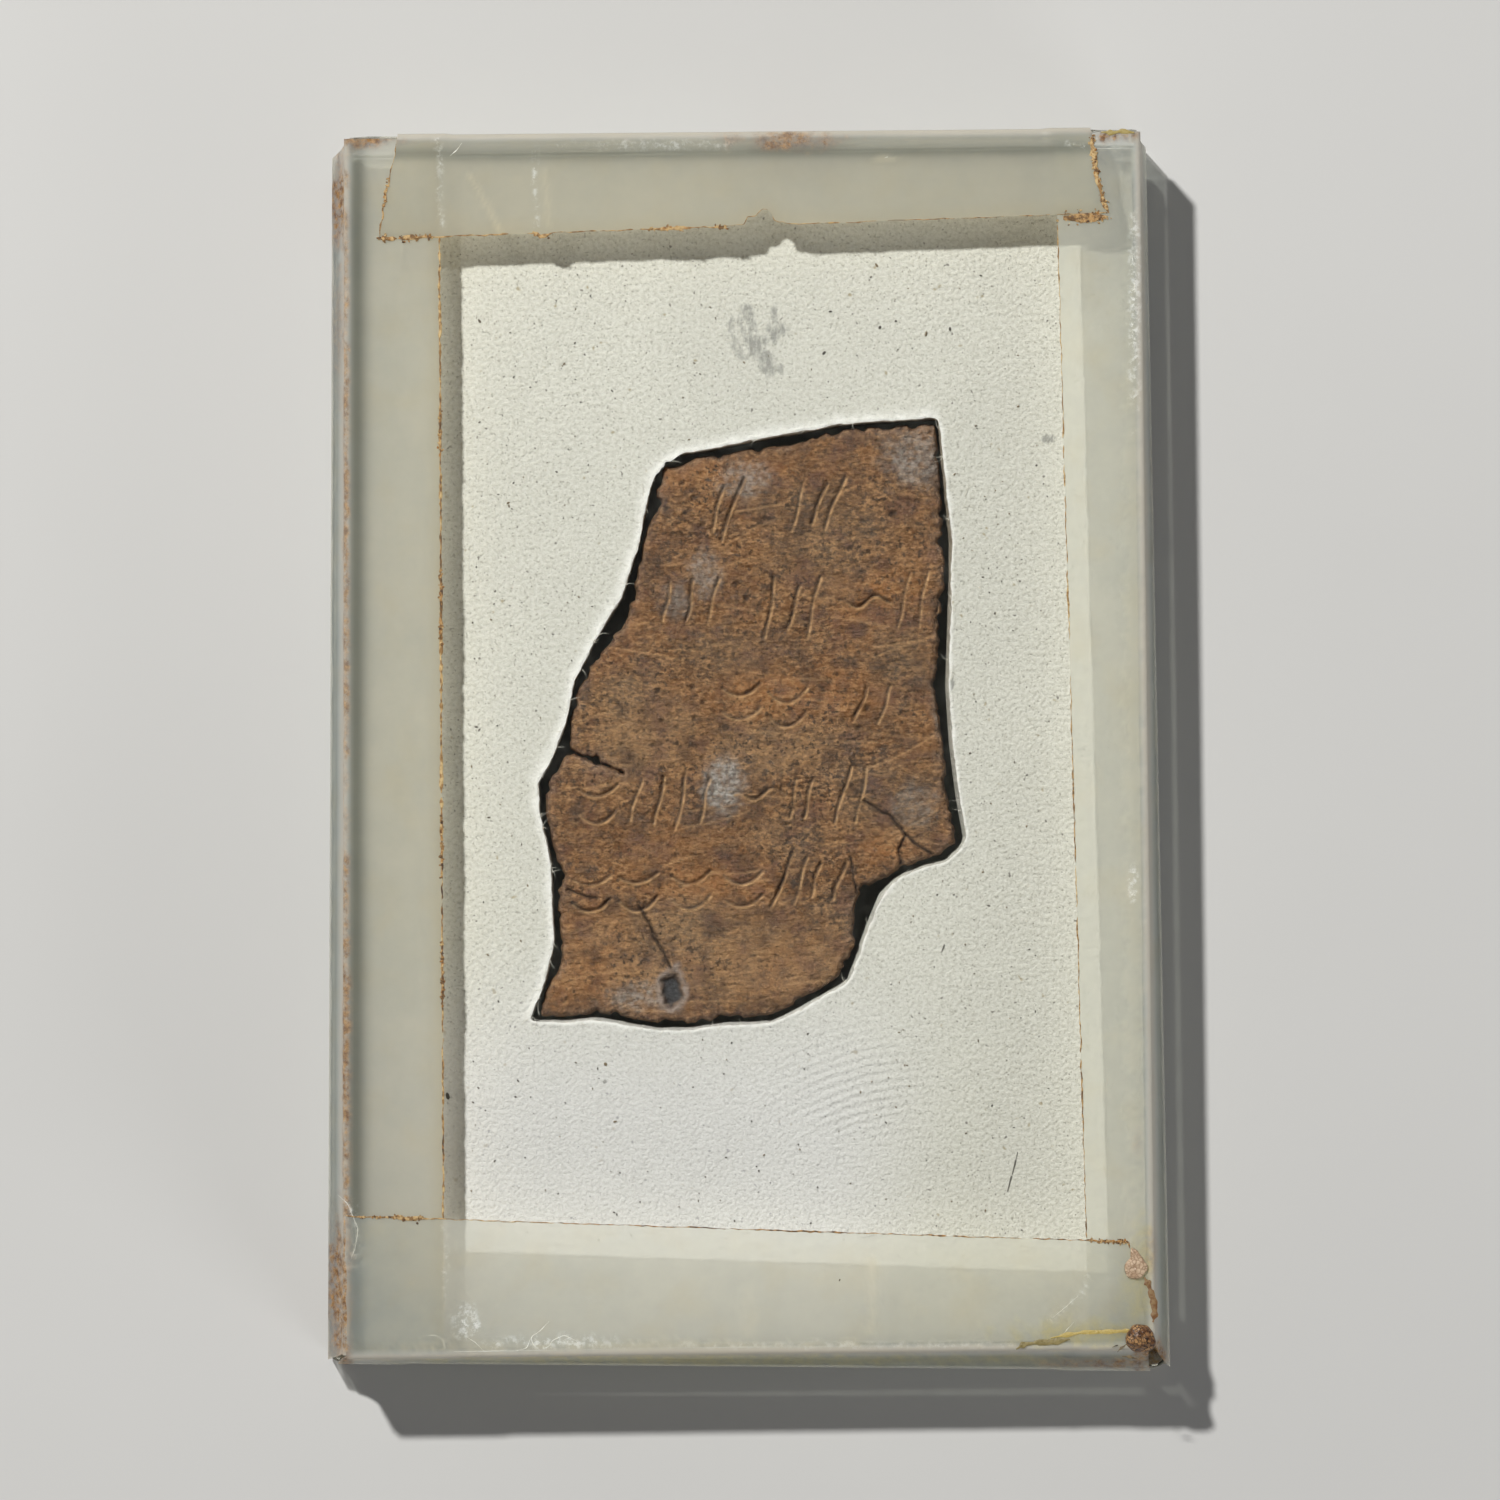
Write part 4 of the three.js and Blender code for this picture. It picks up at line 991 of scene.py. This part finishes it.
def stains(strip, spots, lines=()):
    """A marker for a tape: how stained, how full of air and painted glint, and how clouded a point is.
    Spots have a middle, a reach along x and y, and a strength; lines a path, a reach, a strength."""
    def marker(points):
        x, y, z = points.T
        marks = {kind: np.zeros(len(points)) for kind in ("stain", "air_and_glint", "milky", "yellow")}
        on_cover = z > cover_face - 0.1
        along, across = np.where(on_cover, x, x + y), np.where(on_cover, y + z, z)
        uneven = 0.35 * grain(along, across, 0.6, 91) + 0.2 * grain(along, across, 0.25, 92)
        for kind, middle, reach, strength in spots:
            gap = oval(x, y, middle, reach) + uneven
            marks[kind] = np.maximum(marks[kind], strength * np.clip(1.3 * (1.15 - gap), 0, 1))
        for kind, path, reach, strength in lines:
            gap = off_path(x, y, path, 4 * reach) / reach + uneven
            seen = strength * bell(np.maximum(gap, 0), 1) * (z > card_level)
            marks[kind] = np.maximum(marks[kind], seen)
        within = off_path(x, y, strip.edge("inner")[:, :2], 60)
        at_edge, at_fold = strip.clouded
        marks["cloudy"] = np.where(on_cover, at_fold + (at_edge - at_fold) * bell(within, 0.8), 0)
        fold = off_path(x, y, strip.fold[:, :2], 60)
        marks["folded"] = np.where(z > back_under, np.exp(-(fold / 0.45) ** 4), 0)
        # Painted shade: a band on the cover part of the film just inside the fold, where the fold shades the
        # card below
        middle, reach, strength = strip.painted_fold_shade
        marks["painted_fold_shade"] = strength * on_cover * bell(fold - middle, reach)
        return marks
    return marker


tape = Finish("hazy tape")
cloud = tape.noise(5, detail=4, rough=0.6, shift=1)
fleck = tape.noise(0.4, detail=5, rough=0.7, shift=2)
# White where air is trapped under the film, and painted glint on its wrinkles
air_and_glint = tape.math("MULTIPLY", tape.marked("air_and_glint"), tape.ramp(fleck, 0.47, 0.60))
blot = tape.patches(0.5, 0.32, 0.56, 0.2, 1, detail=5, rough=0.7, shift=3)
stain = tape.math("MULTIPLY", tape.marked("stain"), blot)
rusty = tape.blend(tape.ramp(fleck, 0.4, 0.65), (0.22, 0.105, 0.040), (0.64, 0.38, 0.15))
age = tape.patches(2.6, 0.5, 0.75, 0, 0.35, detail=4, shift=4)
yellowed = tape.math("MULTIPLY", tape.marked("yellow"), tape.ramp(fleck, 0.35, 0.6, 0.5, 1))
folded, milky, cloudy = tape.marked("folded"), tape.marked("milky"), tape.marked("cloudy")
tape.colour = tape.blend(age, (0.96, 0.91, 0.80), (0.95, 0.87, 0.68))
tape.coat(cloudy, (0.97, 0.85, 0.63))
tape.coat(folded, (0.30, 0.26, 0.20), 0.6)
# The painted shade band inside the fold also lets less light through
tape.coat(tape.marked("painted_fold_shade"), (0.36, 0.37, 0.33), 0.7)
tape.coat(yellowed, (0.80, 0.72, 0.36))
# Trapped air and painted glints, near white
tape.coat(air_and_glint, (0.95, 0.95, 0.93))
tape.coat(stain, rusty)
glow = tape.node("ShaderNodeBsdfTranslucent", {"Color": tape.colour}).outputs[0]
tape.colour = tape.blend(tape.ramp(cloud, 0.35, 0.65), (0.72, 0.86, 0.96), (0.80, 0.90, 0.95))
tape.coat(age, (0.82, 0.77, 0.60))
tape.coat(cloudy, (0.40, 0.48, 0.50), 0.9)
tape.coat(milky, (0.86, 0.87, 0.76))
tape.coat(folded, (0.66, 0.60, 0.50), 0.8)
# Painted shade: the film is coloured darker in the band inside the fold
tape.coat(tape.marked("painted_fold_shade"), (0.26, 0.30, 0.28), 0.8)
tape.coat(yellowed, (0.78, 0.70, 0.33))
# Trapped air and painted glints, near white
tape.coat(air_and_glint, (0.95, 0.95, 0.93))
tape.coat(stain, rusty)
waves = tape.bump(tape.noise(1.3, detail=3, shift=5), 0.025)
waves = tape.bump(tape.noise(0.25, detail=3, rough=0.7, shift=6), 0.012, waves)
face = tape.skin(tape.ramp(cloud, 0.3, 0.7, 0.28, 0.5), waves, 0.4)
opaque = tape.math("MAXIMUM", tape.math("MAXIMUM", air_and_glint, folded), stain)
haze = tape.mix(tape.ramp(opaque, 0, 1, 0.72, 0.35), face, glow)
clear = tape.node("ShaderNodeBsdfTransparent", {"Color": (0.985, 0.98, 0.96, 1)}).outputs[0]
open_share = tape.math("MULTIPLY", tape.ramp(cloudy, 0, 1, 0.66, 0.22), tape.ramp(folded, 0, 1, 1, 0.12))
veiled = tape.math("MULTIPLY", tape.math("MAXIMUM", milky, yellowed), 0.35)
for closed in (tape.ramp(cloud, 0.3, 0.7, -0.03, 0.04), tape.math("MULTIPLY", air_and_glint, 0.5),
               tape.math("MULTIPLY", stain, 0.5), veiled):
    open_share = tape.math("SUBTRACT", open_share, closed)
tape = tape.done(tape.mix(tape.math("MAXIMUM", open_share, 0.0), haze, clear))
left_strip.piece("side_tape_left", tape, "tape_left", stains(left_strip, [
    ("stain", (-25.9, 34.4), (0.75, 3.6), 1.0), ("stain", (-25.9, 26.5), (0.5, 5), 0.45),
    ("stain", (-24.1, 38.25), (2.1, 0.6), 1.0),
    ("stain", (-26.0, -34), (0.9, 5.4), 1.0), ("stain", (-25.3, -34), (0.6, 4.6), 1.0),
    ("stain", (-25.2, 16), (0.30, 24), 0.75), ("stain", (-25.2, -20), (0.35, 18), 0.85),
    ("air_and_glint", (-24.6, -31), (0.8, 3), 0.3)],
    [("air_and_glint", seen_at((337, 1194), (348, 1204), (353, 1216), (357, 1230), (356, 1246), (349, 1264)), 0.12,
      0.9)]))
right_strip.piece("side_tape_right", tape, "tape_right", stains(right_strip, [
    ("stain", (25.2, -31.5), (0.5, 1.5), 0.3), ("air_and_glint", (24.1, 27.5), (0.45, 6.0), 1.0),
    ("stain", (22.9, 38.5), (1.5, 0.5), 1.0), ("stain", (25.6, 24), (0.3, 12), 0.6),
    ("stain", (25.7, -38.0), (0.9, 1.3), 1.0),
    ("milky", (24.1, 3), (0.75, 40), 0.45), ("yellow", (24.6, -33.5), (0.7, 4.5), 0.5),
    ("stain", (24.3, -24.5), (0.4, 1.2), 0.25), ("air_and_glint", (24.0, -8), (0.35, 1.4), 1.0)]))
top_strip.piece("cross_tape_top", tape, "tape_top", stains(top_strip, [
    ("stain", (-23.8, 38.0), (2.6, 0.35), 0.8), ("stain", (2.6, 38.2), (3.6, 0.7), 0.85),
    ("stain", (22.6, 38.4), (1.6, 0.45), 0.8), ("air_and_glint", (-6, 37.9), (6, 0.35), 0.45),
    ("milky", (8.6, 37.1), (1.0, 0.25), 0.5)],
    [("air_and_glint", seen_at((436, 140), (441, 160), (439, 190), (442, 226)), 0.14, 0.6),
     ("air_and_glint", seen_at((536, 150), (534, 180), (537, 205), (536, 232)), 0.10, 0.6),
     ("milky", seen_at((470, 175), (486, 204), (512, 255)), 0.2, 0.4),
     ("milky", seen_at((545, 170), (549, 225)), 0.2, 0.25),
     ("air_and_glint", seen_at((1066, 143), (1088, 148)), 0.12, 0.9)]))
bottom_strip.piece("cross_tape_bottom", tape, "tape_bottom", stains(bottom_strip, [
    ("stain", (-25.4, -37.8), (0.6, 1.6), 0.9), ("yellow", (20.8, -36.3), (5.0, 1.0), 0.65),
    ("yellow", (24.2, -33.6), (1.2, 3.2), 0.4),
    ("milky", (-2, -37.3), (23, 0.5), 0.8), ("yellow", (0, -38.3), (25, 0.45), 0.55),
    ("stain", (22.0, -38.5), (4.0, 0.35), 0.9),
    ("stain", (24.9, -38.3), (1.2, 0.8), 1.0),
    ("stain", (25.1, -35.3), (0.4, 1.4), 0.6), ("air_and_glint", (-17.6, -35.6), (0.9, 1.2), 0.9),
    ("air_and_glint", (-12, -36.9), (5, 0.5), 0.7), ("air_and_glint", (6, -37.1), (14, 0.3), 0.35)],
    [("air_and_glint", seen_at((444, 1222), (446, 1260), (443, 1296)), 0.12, 0.4),
     ("milky", seen_at((872, 1261), (873, 1300), (871, 1331)), 0.3, 0.4),
     ("milky", seen_at((748, 1290), (750, 1335)), 0.5, 0.25),
     ("air_and_glint", seen_at((1088, 1275), (1084, 1290), (1068, 1305), (1050, 1320)), 0.09, 0.5)]))

# Dried adhesive
# What oozed from under the tapes has caught dirt and dried to rust-brown seams along their edges.
# On the left it fills the groove between the plates, and at lower right it dried in lumps.
seams = Bundle()
oozed = np.random.default_rng(10)
seam_step = 0.1


def seam(path, wide, gaps, blotches=(), seed=0, mark=0.5):
    """Short rods along a path where its seam is whole. Blotches are (x or y, reach, half width)."""
    path = np.asarray(path, float)
    run = np.concatenate([[0], np.cumsum(np.linalg.norm(np.diff(path, axis=0), axis=1))])
    stops = np.arange(0, run[-1], seam_step)
    line = np.column_stack([np.interp(stops, run, path[:, axis]) for axis in range(3)])
    thick = wide * (0.7 + 0.45 * grain(stops, 0 * stops, 0.22, seed))
    thick = thick * (0.8 + 0.4 * grain(stops, 0 * stops, 2.5, seed + 1))
    whole = grain(stops, 0 * stops, 0.6, seed + 2) > gaps
    for px, py, reach, wider in blotches:
        near = np.exp(-(np.hypot(line[:, 0] - px, line[:, 1] - py) / reach) ** 4)
        thick = np.maximum(thick, wider * near * (0.75 + 0.35 * grain(stops, 0 * stops, 0.22, seed + 3)))
        whole |= near > 0.4
        beside = line[near > 0.4]
        for _ in range(int(90 * reach * wider ** 0.5) if len(beside) else 0):
            size, turn = oozed.uniform(0.025, 0.07), oozed.uniform(0, 3.1)
            spot = beside[oozed.integers(len(beside))] + np.array([*oozed.normal(0, 0.6 * wider, 2), 0.02])
            way = np.array([math.cos(turn), math.sin(turn), 0]) * size * oozed.uniform(1, 2)
            ends = [spot - way, spot - 0.5 * way, spot + 0.5 * way, spot + way]
            seams.add_rod(ends, size * np.array([0.4, 1, 1, 0.4]), 0.6 * size, oozed.random())
    line[:, 0] += 0.03 * grain(stops, 0 * stops, 0.3, seed + 4)
    line[:, 1] += 0.03 * grain(stops, 0 * stops, 0.3, seed + 5)
    breaks = np.flatnonzero(np.diff(whole.astype(int))) + 1
    for part in np.split(np.arange(len(stops)), breaks):
        if len(part) >= 3 and whole[part[0]]:
            from_end = np.minimum(np.arange(len(part)), np.arange(len(part))[::-1])
            taper = np.minimum(1, 0.35 + 0.65 * from_end / 1.5)
            half = np.maximum(thick[part] * taper, 0.012)
            kind = np.clip(mark + 0.5 * oozed.random(), 0, 1)
            seams.add_rod(line[part], half, np.minimum(half * 0.5, 0.05), kind)


left_inner, right_inner = left_strip.edge("inner"), right_strip.edge("inner")
top_inner, bottom_inner = top_strip.edge("inner"), bottom_strip.edge("inner")
left_free = left_inner[(left_inner[:, 1] > -29.2) & (left_inner[:, 1] < 32.4)]
seam(left_free, 0.10, -0.9, (), 201, -0.5)
seam(left_free + (0, 0, 0.03), 0.06, -0.35,
     [(-19.2, 20.0, 1.6, 0.10), (-19.2, 9, 2.6, 0.10), (-19.0, -6, 2.0, 0.08), (-19.0, -14, 2.2, 0.09)],
     206, 0.5)
seam(right_inner[(right_inner[:, 1] > -30.6) & (right_inner[:, 1] < 33.2)], 0.055, -0.75, (), 211, 0.15)
seam(top_inner, 0.05, -0.7, [
    (-22.6, 32.0, 0.5, 0.20), (-20.8, 32.1, 1.0, 0.17), (-13.0, 32.4, 0.5, 0.15), (-4.9, 32.7, 1.5, 0.13),
    (-1.9, 32.8, 0.5, 0.1)], 221, 0.15)
corner_band = top_inner[(top_inner[:, 0] > 19.5)] + (0, -0.25, -0.02)
seam(corner_band, 0.38, -1, [(21, 33, 1.4, 0.34)], 271, 0.15)
seam(top_strip.edge("start"), 0.06, -0.8, [(-23.2, 35, 1.2, 0.08)], 231, 0.3)
seam(top_strip.edge("end"), 0.09, -0.9, [(22.3, 34.0, 0.9, 0.15), (21.9, 36.8, 1.9, 0.19)], 241, 0.1)
seam(bottom_inner, 0.055, -0.75, [
    (-23.0, -29.0, 1.4, 0.07), (-21.4, -29.1, 1.0, 0.16), (22.8, -30.6, 1.6, 0.13)], 251, 0.35)
bottom_end = bottom_strip.edge("end")
seam(bottom_end[bottom_end[:, 1] > -33.2], 0.06, -0.8, (), 261, 0.5)
rust = Finish("dried adhesive")
seam_fleck = rust.patches(0.26, 0.42, 0.58)
dark_seam = rust.blend(seam_fleck, (0.05, 0.022, 0.010), (0.36, 0.17, 0.045))
rust.colour = rust.blend(seam_fleck, (0.28, 0.15, 0.045), (0.60, 0.44, 0.22))
rust.coat(rust.ramp(rust.marked("kind"), 0.2, 0.9), dark_seam)
crusty = rust.bump(rust.noise(0.12, detail=4, rough=0.7), 0.06)
seam_skin = rust.skin(rust.ramp(seam_fleck, 0, 1, 0.45, 0.8), crusty)
seams.piece("adhesive_seams", rust.done(seam_skin), "adhesive")


def rough_crust(name, node, finish, cell, amount, seed, slices=5):
    """A packed crust, cut finer and eaten into by random hollows."""
    lump = bmesh.new()
    lump.from_mesh(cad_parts[node].data)
    bmesh.ops.remove_doubles(lump, verts=lump.verts, dist=weld)
    bmesh.ops.subdivide_edges(lump, edges=lump.edges, cuts=slices, use_grid_fill=True)
    bmesh.ops.triangulate(lump, faces=lump.faces)
    for _ in range(5):
        bmesh.ops.smooth_vert(lump, verts=lump.verts, factor=0.5,
                              use_axis_x=True, use_axis_y=True, use_axis_z=True)
    lump.normal_update()
    place = np.array([vertex.co for vertex in lump.verts]) / MM
    eaten = amount * (0.5 + 0.5 * grain(place[:, 0] + place[:, 2], place[:, 1] - place[:, 2], cell, seed))
    eaten += 0.4 * amount * grain(place[:, 0] - place[:, 2], place[:, 1] + place[:, 2], cell / 3, seed + 1)
    for vertex, depth in zip(lump.verts, eaten):
        vertex.co -= vertex.normal * float(depth) * MM
    mesh = bpy.data.meshes.new(name)
    lump.to_mesh(mesh)
    lump.free()
    set_down(name, mesh, finish, (node,))


def crust_finish(name, dark, light, shift):
    crust = Finish(name)
    patch = crust.patches(0.35, 0.35, 0.65, detail=5, rough=0.7, shift=shift)
    crust.colour = crust.blend(patch, dark, light)
    crust.coat(crust.patches(0.12, 0.4, 0.7, detail=4, rough=0.7, shift=shift + 3), (0.55, 0.42, 0.26), 0.5)
    gritty = crust.bump(crust.noise(0.15, detail=4, rough=0.7, shift=shift), 0.08)
    return crust.done(crust.skin(crust.ramp(patch, 0, 1, 0.4, 0.75), gritty))


amber = crust_finish("amber crust", (0.26, 0.10, 0.030), (0.62, 0.32, 0.11), 2)
tar = crust_finish("dark crust", (0.06, 0.025, 0.012), (0.26, 0.12, 0.045), 5)
rough_crust("groove_flake", "adhesive_upper_left", amber, 0.5, 0.07, 301)
rough_crust("groove_stub", "adhesive_lower_left", tar, 0.4, 0.06, 303)


def dried_lump(name, node, outline, low, tall, finish, seed):
    """A dried drop with a rounded outline seen in the picture and a wrinkled skin."""
    loop = evenly(turned_left(seen_at(*outline)), 0.07)
    for _ in range(6):
        loop = 0.5 * loop + 0.25 * (np.roll(loop, 1, axis=0) + np.roll(loop, -1, axis=0))
    uneven = 0.06 * grain(*loop.T, 0.3, seed) + 0.13 * grain(*loop.T, 0.7, seed + 3)
    loop = loop + outward(loop) * uneven[:, None]
    middle, rings = loop.mean(0), []
    for share in [1.0, 1.0, 0.97, 0.92, 0.85, 0.76, 0.66, 0.55, 0.44, 0.33, 0.22, 0.11]:
        ring = middle + (loop - middle) * share
        wrinkled = 0.10 * grain(*ring.T, 0.45, seed + 1) + 0.07 * grain(*ring.T, 0.2, seed + 2)
        bulge = 0 if not rings else tall * (0.22 + 0.78 * (1 - share**2) ** 0.5) * (0.9 + wrinkled)
        hung = 0.8 * np.clip(-36.95 - ring[:, 1], 0, 1)
        rings.append(np.column_stack([ring, low + bulge - hung]))
    faces = with_lids(len(rings), len(loop))
    make_piece(name, np.vstack(rings), faces, finish, (node,))


def lump_finish(name, vein, dark, light, shift):
    lump = Finish(name)
    cells = lump.node("ShaderNodeTexVoronoi", {"Vector": lump.place, "Scale": 3.4}, feature="DISTANCE_TO_EDGE")
    patch = lump.patches(0.5, 0.4, 0.6, detail=3, shift=shift)
    off_vein = lump.ramp(cells.outputs["Distance"], 0.02, 0.10)
    lump.colour = lump.blend(off_vein, vein, lump.blend(patch, dark, light))
    lump.coat(lump.patches(0.25, 0.6, 0.7, detail=1, shift=shift + 2), vein)
    wrinkled = lump.bump(lump.noise(0.22, shift=shift), 0.12)
    return lump.done(lump.skin(lump.ramp(patch, 0, 1, 0.35, 0.6), wrinkled))


drop_outline = [(1131, 1246), (1137, 1250), (1142, 1256), (1148, 1264), (1147, 1271), (1142, 1277),
                (1136, 1280), (1130, 1279), (1126, 1276), (1124, 1269), (1126, 1263), (1130, 1259),
                (1130, 1251)]
lump_outline = [(1124, 1336), (1129, 1328), (1137, 1324), (1146, 1325), (1153, 1331), (1155, 1340),
                (1153, 1349), (1147, 1354), (1138, 1354), (1130, 1351), (1125, 1344)]
fawn = lump_finish("fawn drop", (0.31, 0.20, 0.125), (0.42, 0.29, 0.19), (0.56, 0.42, 0.29), 8)
resin = lump_finish("resin lump", (0.022, 0.011, 0.007), (0.13, 0.055, 0.020), (0.40, 0.22, 0.09), 5)
dried_lump("edge_drop", "adhesive_right_edge", drop_outline, 8.5, 0.33, fawn, 305)
dried_lump("corner_lump", "adhesive_corner", lump_outline, 8.45, 0.75, resin, 307)

# Creases and soil on the tapes
# Fine white creases where the film was crumpled, their white partly the crumpled film and partly
# painted glint, and olive, brown and black soil round the lump at the lower right corner, with one
# more streak at the upper right.
creases = Bundle()
film_top = cover_face + film_gap + tape_thick + 0.03


def crease(pixels, half, kind=0.0, raised=0.0):
    """A thin rod on the film through places in the picture, bent smoothly."""
    corners = seen_at(*pixels)
    run = np.linspace(0, len(corners) - 1, 8 * len(corners))
    line = np.column_stack([np.interp(run, range(len(corners)), corners[:, axis]) for axis in range(2)])
    for _ in range(6):
        line[1:-1] = 0.5 * line[1:-1] + 0.25 * (line[2:] + line[:-2])
    line += 0.02 * np.column_stack([grain(run, run, 0.6, 401), grain(run, run, 0.6, 402)])
    taper = np.minimum(1, 0.3 + 0.9 * np.minimum(run, run[::-1]))
    height = np.full(len(line), film_top + raised)
    wide = half * taper * (0.8 + 0.4 * grain(run, 0 * run, 0.4, 403))
    creases.add_rod(np.column_stack([line, height]), wide, np.minimum(wide, 0.03), kind)


white_creases_and_glints = [
    ([(337, 1194), (348, 1204), (353, 1216), (358, 1229), (356, 1246), (349, 1264)], 0.022),
    ([(420, 1336), (436, 1335), (444, 1341), (445, 1350)], 0.025),
    ([(464, 1335), (476, 1343), (484, 1351)], 0.025),
    ([(549, 1321), (541, 1330), (531, 1337), (533, 1345), (540, 1350)], 0.03),
    ([(531, 1337), (527, 1348), (516, 1351)], 0.035),
    ([(540, 1350), (548, 1347), (553, 1340), (564, 1335), (577, 1341)], 0.03),
    ([(436, 156), (441, 150), (443, 140)], 0.03),
    ([(450, 156), (456, 151), (462, 143)], 0.035), ([(1066, 143), (1076, 145), (1088, 148)], 0.03),
    ([(1088, 1275), (1084, 1290), (1068, 1305), (1052, 1318)], 0.015),
    ([(1094, 1283), (1112, 1278), (1130, 1287)], 0.015),
    ([(1062, 1336), (1068, 1328), (1074, 1322)], 0.02), ([(1093, 140), (1091, 150), (1094, 158)], 0.035),
    ([(430, 1352), (505, 1351), (620, 1349)], 0.02), ([(640, 1348), (760, 1347), (900, 1346)], 0.015),
    ([(884, 158), (888, 157)], 0.05), ([(1132, 255), (1133, 262)], 0.05), ([(1135, 280), (1134, 290)], 0.04),
]
for pixels, half in white_creases_and_glints:
    crease(pixels, half)
soil_streaks = [
    ([(1016, 1349), (1024, 1344), (1040, 1342), (1054, 1342), (1070, 1339)], 0.22, 0.6),
    ([(1050, 1338), (1071, 1334), (1085, 1332), (1105, 1332), (1122, 1331), (1133, 1329)], 0.17, 0.3),
    ([(1144, 1277), (1148, 1284), (1151, 1292), (1153, 1300), (1155, 1311), (1153, 1322)], 0.25, 0.8),
    ([(1117, 1352), (1122, 1347), (1127, 1344)], 0.08, 0.95), ([(1112, 1347), (1118, 1345)], 0.07, 1.0),
    ([(1122, 1356), (1131, 1357), (1138, 1359)], 0.10, 0.95), ([(1098, 1239), (1100, 1239)], 0.10, 0.9),
    ([(1117, 1239), (1122, 1240)], 0.11, 0.9),
    ([(1101, 132), (1112, 133), (1122, 131), (1134, 133)], 0.19, 0.45), ([(839, 1281), (840, 1279)], 0.09, 1.0),
]
for pixels, half, kind in soil_streaks:
    crease(pixels, half, kind, 0.03)
soil = Finish("creases and soil")
soil_fleck = soil.patches(0.22, 0.40, 0.60)
soil_kind = soil.node("ShaderNodeValToRGB", {0: soil.marked("kind")})
# The first two colours are the white of the creases, partly painted glint
kinds_of_soil = ((0.0, (0.86, 0.87, 0.82)), (0.15, (0.86, 0.87, 0.82)), (0.3, (0.44, 0.33, 0.09)),
                 (0.6, (0.20, 0.16, 0.06)), (0.8, (0.17, 0.08, 0.032)), (1.0, (0.04, 0.03, 0.02)))
for place, _ in kinds_of_soil[1:-1]:
    soil_kind.color_ramp.elements.new(place)
for stop, (place, shade) in zip(soil_kind.color_ramp.elements, kinds_of_soil):
    stop.position, stop.color = place, (*shade, 1)
soil_light = soil.blend(0.18, soil_kind.outputs[0], (0.62, 0.52, 0.26))
soil.colour = soil.blend(soil_fleck, soil_kind.outputs[0], soil_light)
soil_skin = soil.skin(soil.ramp(soil_fleck, 0, 1, 0.4, 0.7), soil.bump(soil.noise(0.15), 0.06))
creases.piece("film_creases", soil.done(soil_skin), "tape")

# Floor, lamps and camera
# A plain pale table top, one small lamp high at the upper left, and an even glow from all round.
floor_mesh = bpy.data.meshes.new("floor")
floor_size, floor_drop = 3.0, 0.01
corners = [(-floor_size, -floor_size), (floor_size, -floor_size), (floor_size, floor_size),
           (-floor_size, floor_size)]
floor_mesh.from_pydata([(px, py, -floor_drop * MM) for px, py in corners], [], [(0, 1, 2, 3)])
floor = bpy.data.objects.new("floor", floor_mesh)
bpy.context.scene.collection.objects.link(floor)
table = Finish("table top")
table.colour = table.blend(table.noise(40, detail=3), (0.54, 0.54, 0.535), (0.58, 0.58, 0.575))
floor_mesh.materials.append(table.done(table.skin(0.9)))


def area_lamp(name, place, energy, shape, size, size_y, colour=(1, 1, 1)):
    """A glowing panel that faces the middle of the table."""
    data = bpy.data.lights.new(name, "AREA")
    data.shape, data.size, data.size_y = shape, size, size_y
    data.energy, data.color = energy, colour
    made = bpy.data.objects.new(name, data)
    bpy.context.scene.collection.objects.link(made)
    made.location = place
    made.rotation_euler = (-made.location).to_track_quat("-Z", "Y").to_euler()
    return made


lamp_height = 0.52
lamp_place = (-0.41 * lamp_height, 0.58 * lamp_height, lamp_height)
area_lamp("key", lamp_place, 4.5, "DISK", 0.030, 0.030, (1.0, 0.985, 0.95))
reflector = area_lamp("reflector", (0.40, -0.45, 0.16), 1.3, "RECTANGLE", 0.30, 0.12)
# The plates would mirror the reflector as a white patch from some low sides
reflector.visible_glossy = False
reflector.visible_transmission = False

world = bpy.data.worlds.new("studio")
bpy.context.scene.world = world
world.use_nodes = True
sky = world.node_tree
sky.nodes.clear()
direction, split, overhead, glow, seen, ray, choose, result = (sky.nodes.new("ShaderNode" + kind) for kind in (
    "TexCoord", "SeparateXYZ", "ValToRGB", "Background", "Background", "LightPath", "MixShader", "OutputWorld"))
# How strong the glow is by height, from the horizon up
stops = ((0.0, 0.55), (0.30, 0.30), (0.65, 0.13), (0.95, 0.03))
for place, strength in stops[1:-1]:
    overhead.color_ramp.elements.new(place)
for stop, (place, strength) in zip(overhead.color_ramp.elements, stops):
    stop.position, stop.color = place, (strength, strength, strength, 1)
seen.inputs["Color"].default_value = (0.80, 0.80, 0.79, 1)
for source, target in ((direction.outputs["Generated"], split.inputs[0]),
                       (split.outputs["Z"], overhead.inputs[0]),
                       (overhead.outputs[0], glow.inputs["Strength"]),
                       (ray.outputs["Is Camera Ray"], choose.inputs[0]),
                       (glow.outputs[0], choose.inputs[1]), (seen.outputs[0], choose.inputs[2]),
                       (choose.outputs[0], result.inputs["Surface"])):
    sky.links.new(source, target)

camera_data = bpy.data.cameras.new("camera")
camera = bpy.data.objects.new("camera", camera_data)
bpy.context.scene.collection.objects.link(camera)
camera_height = 650
seen_width = 93.75
look_at = (0.06, 0.10)
camera.location = (look_at[0] * MM, look_at[1] * MM, (cover_face + camera_height) * MM)
camera_data.lens = camera_data.sensor_width * camera_height / seen_width
camera_data.clip_start, camera_data.clip_end = 0.05, 10
bpy.context.scene.camera = camera
bpy.context.scene.view_settings.view_transform = "Standard"
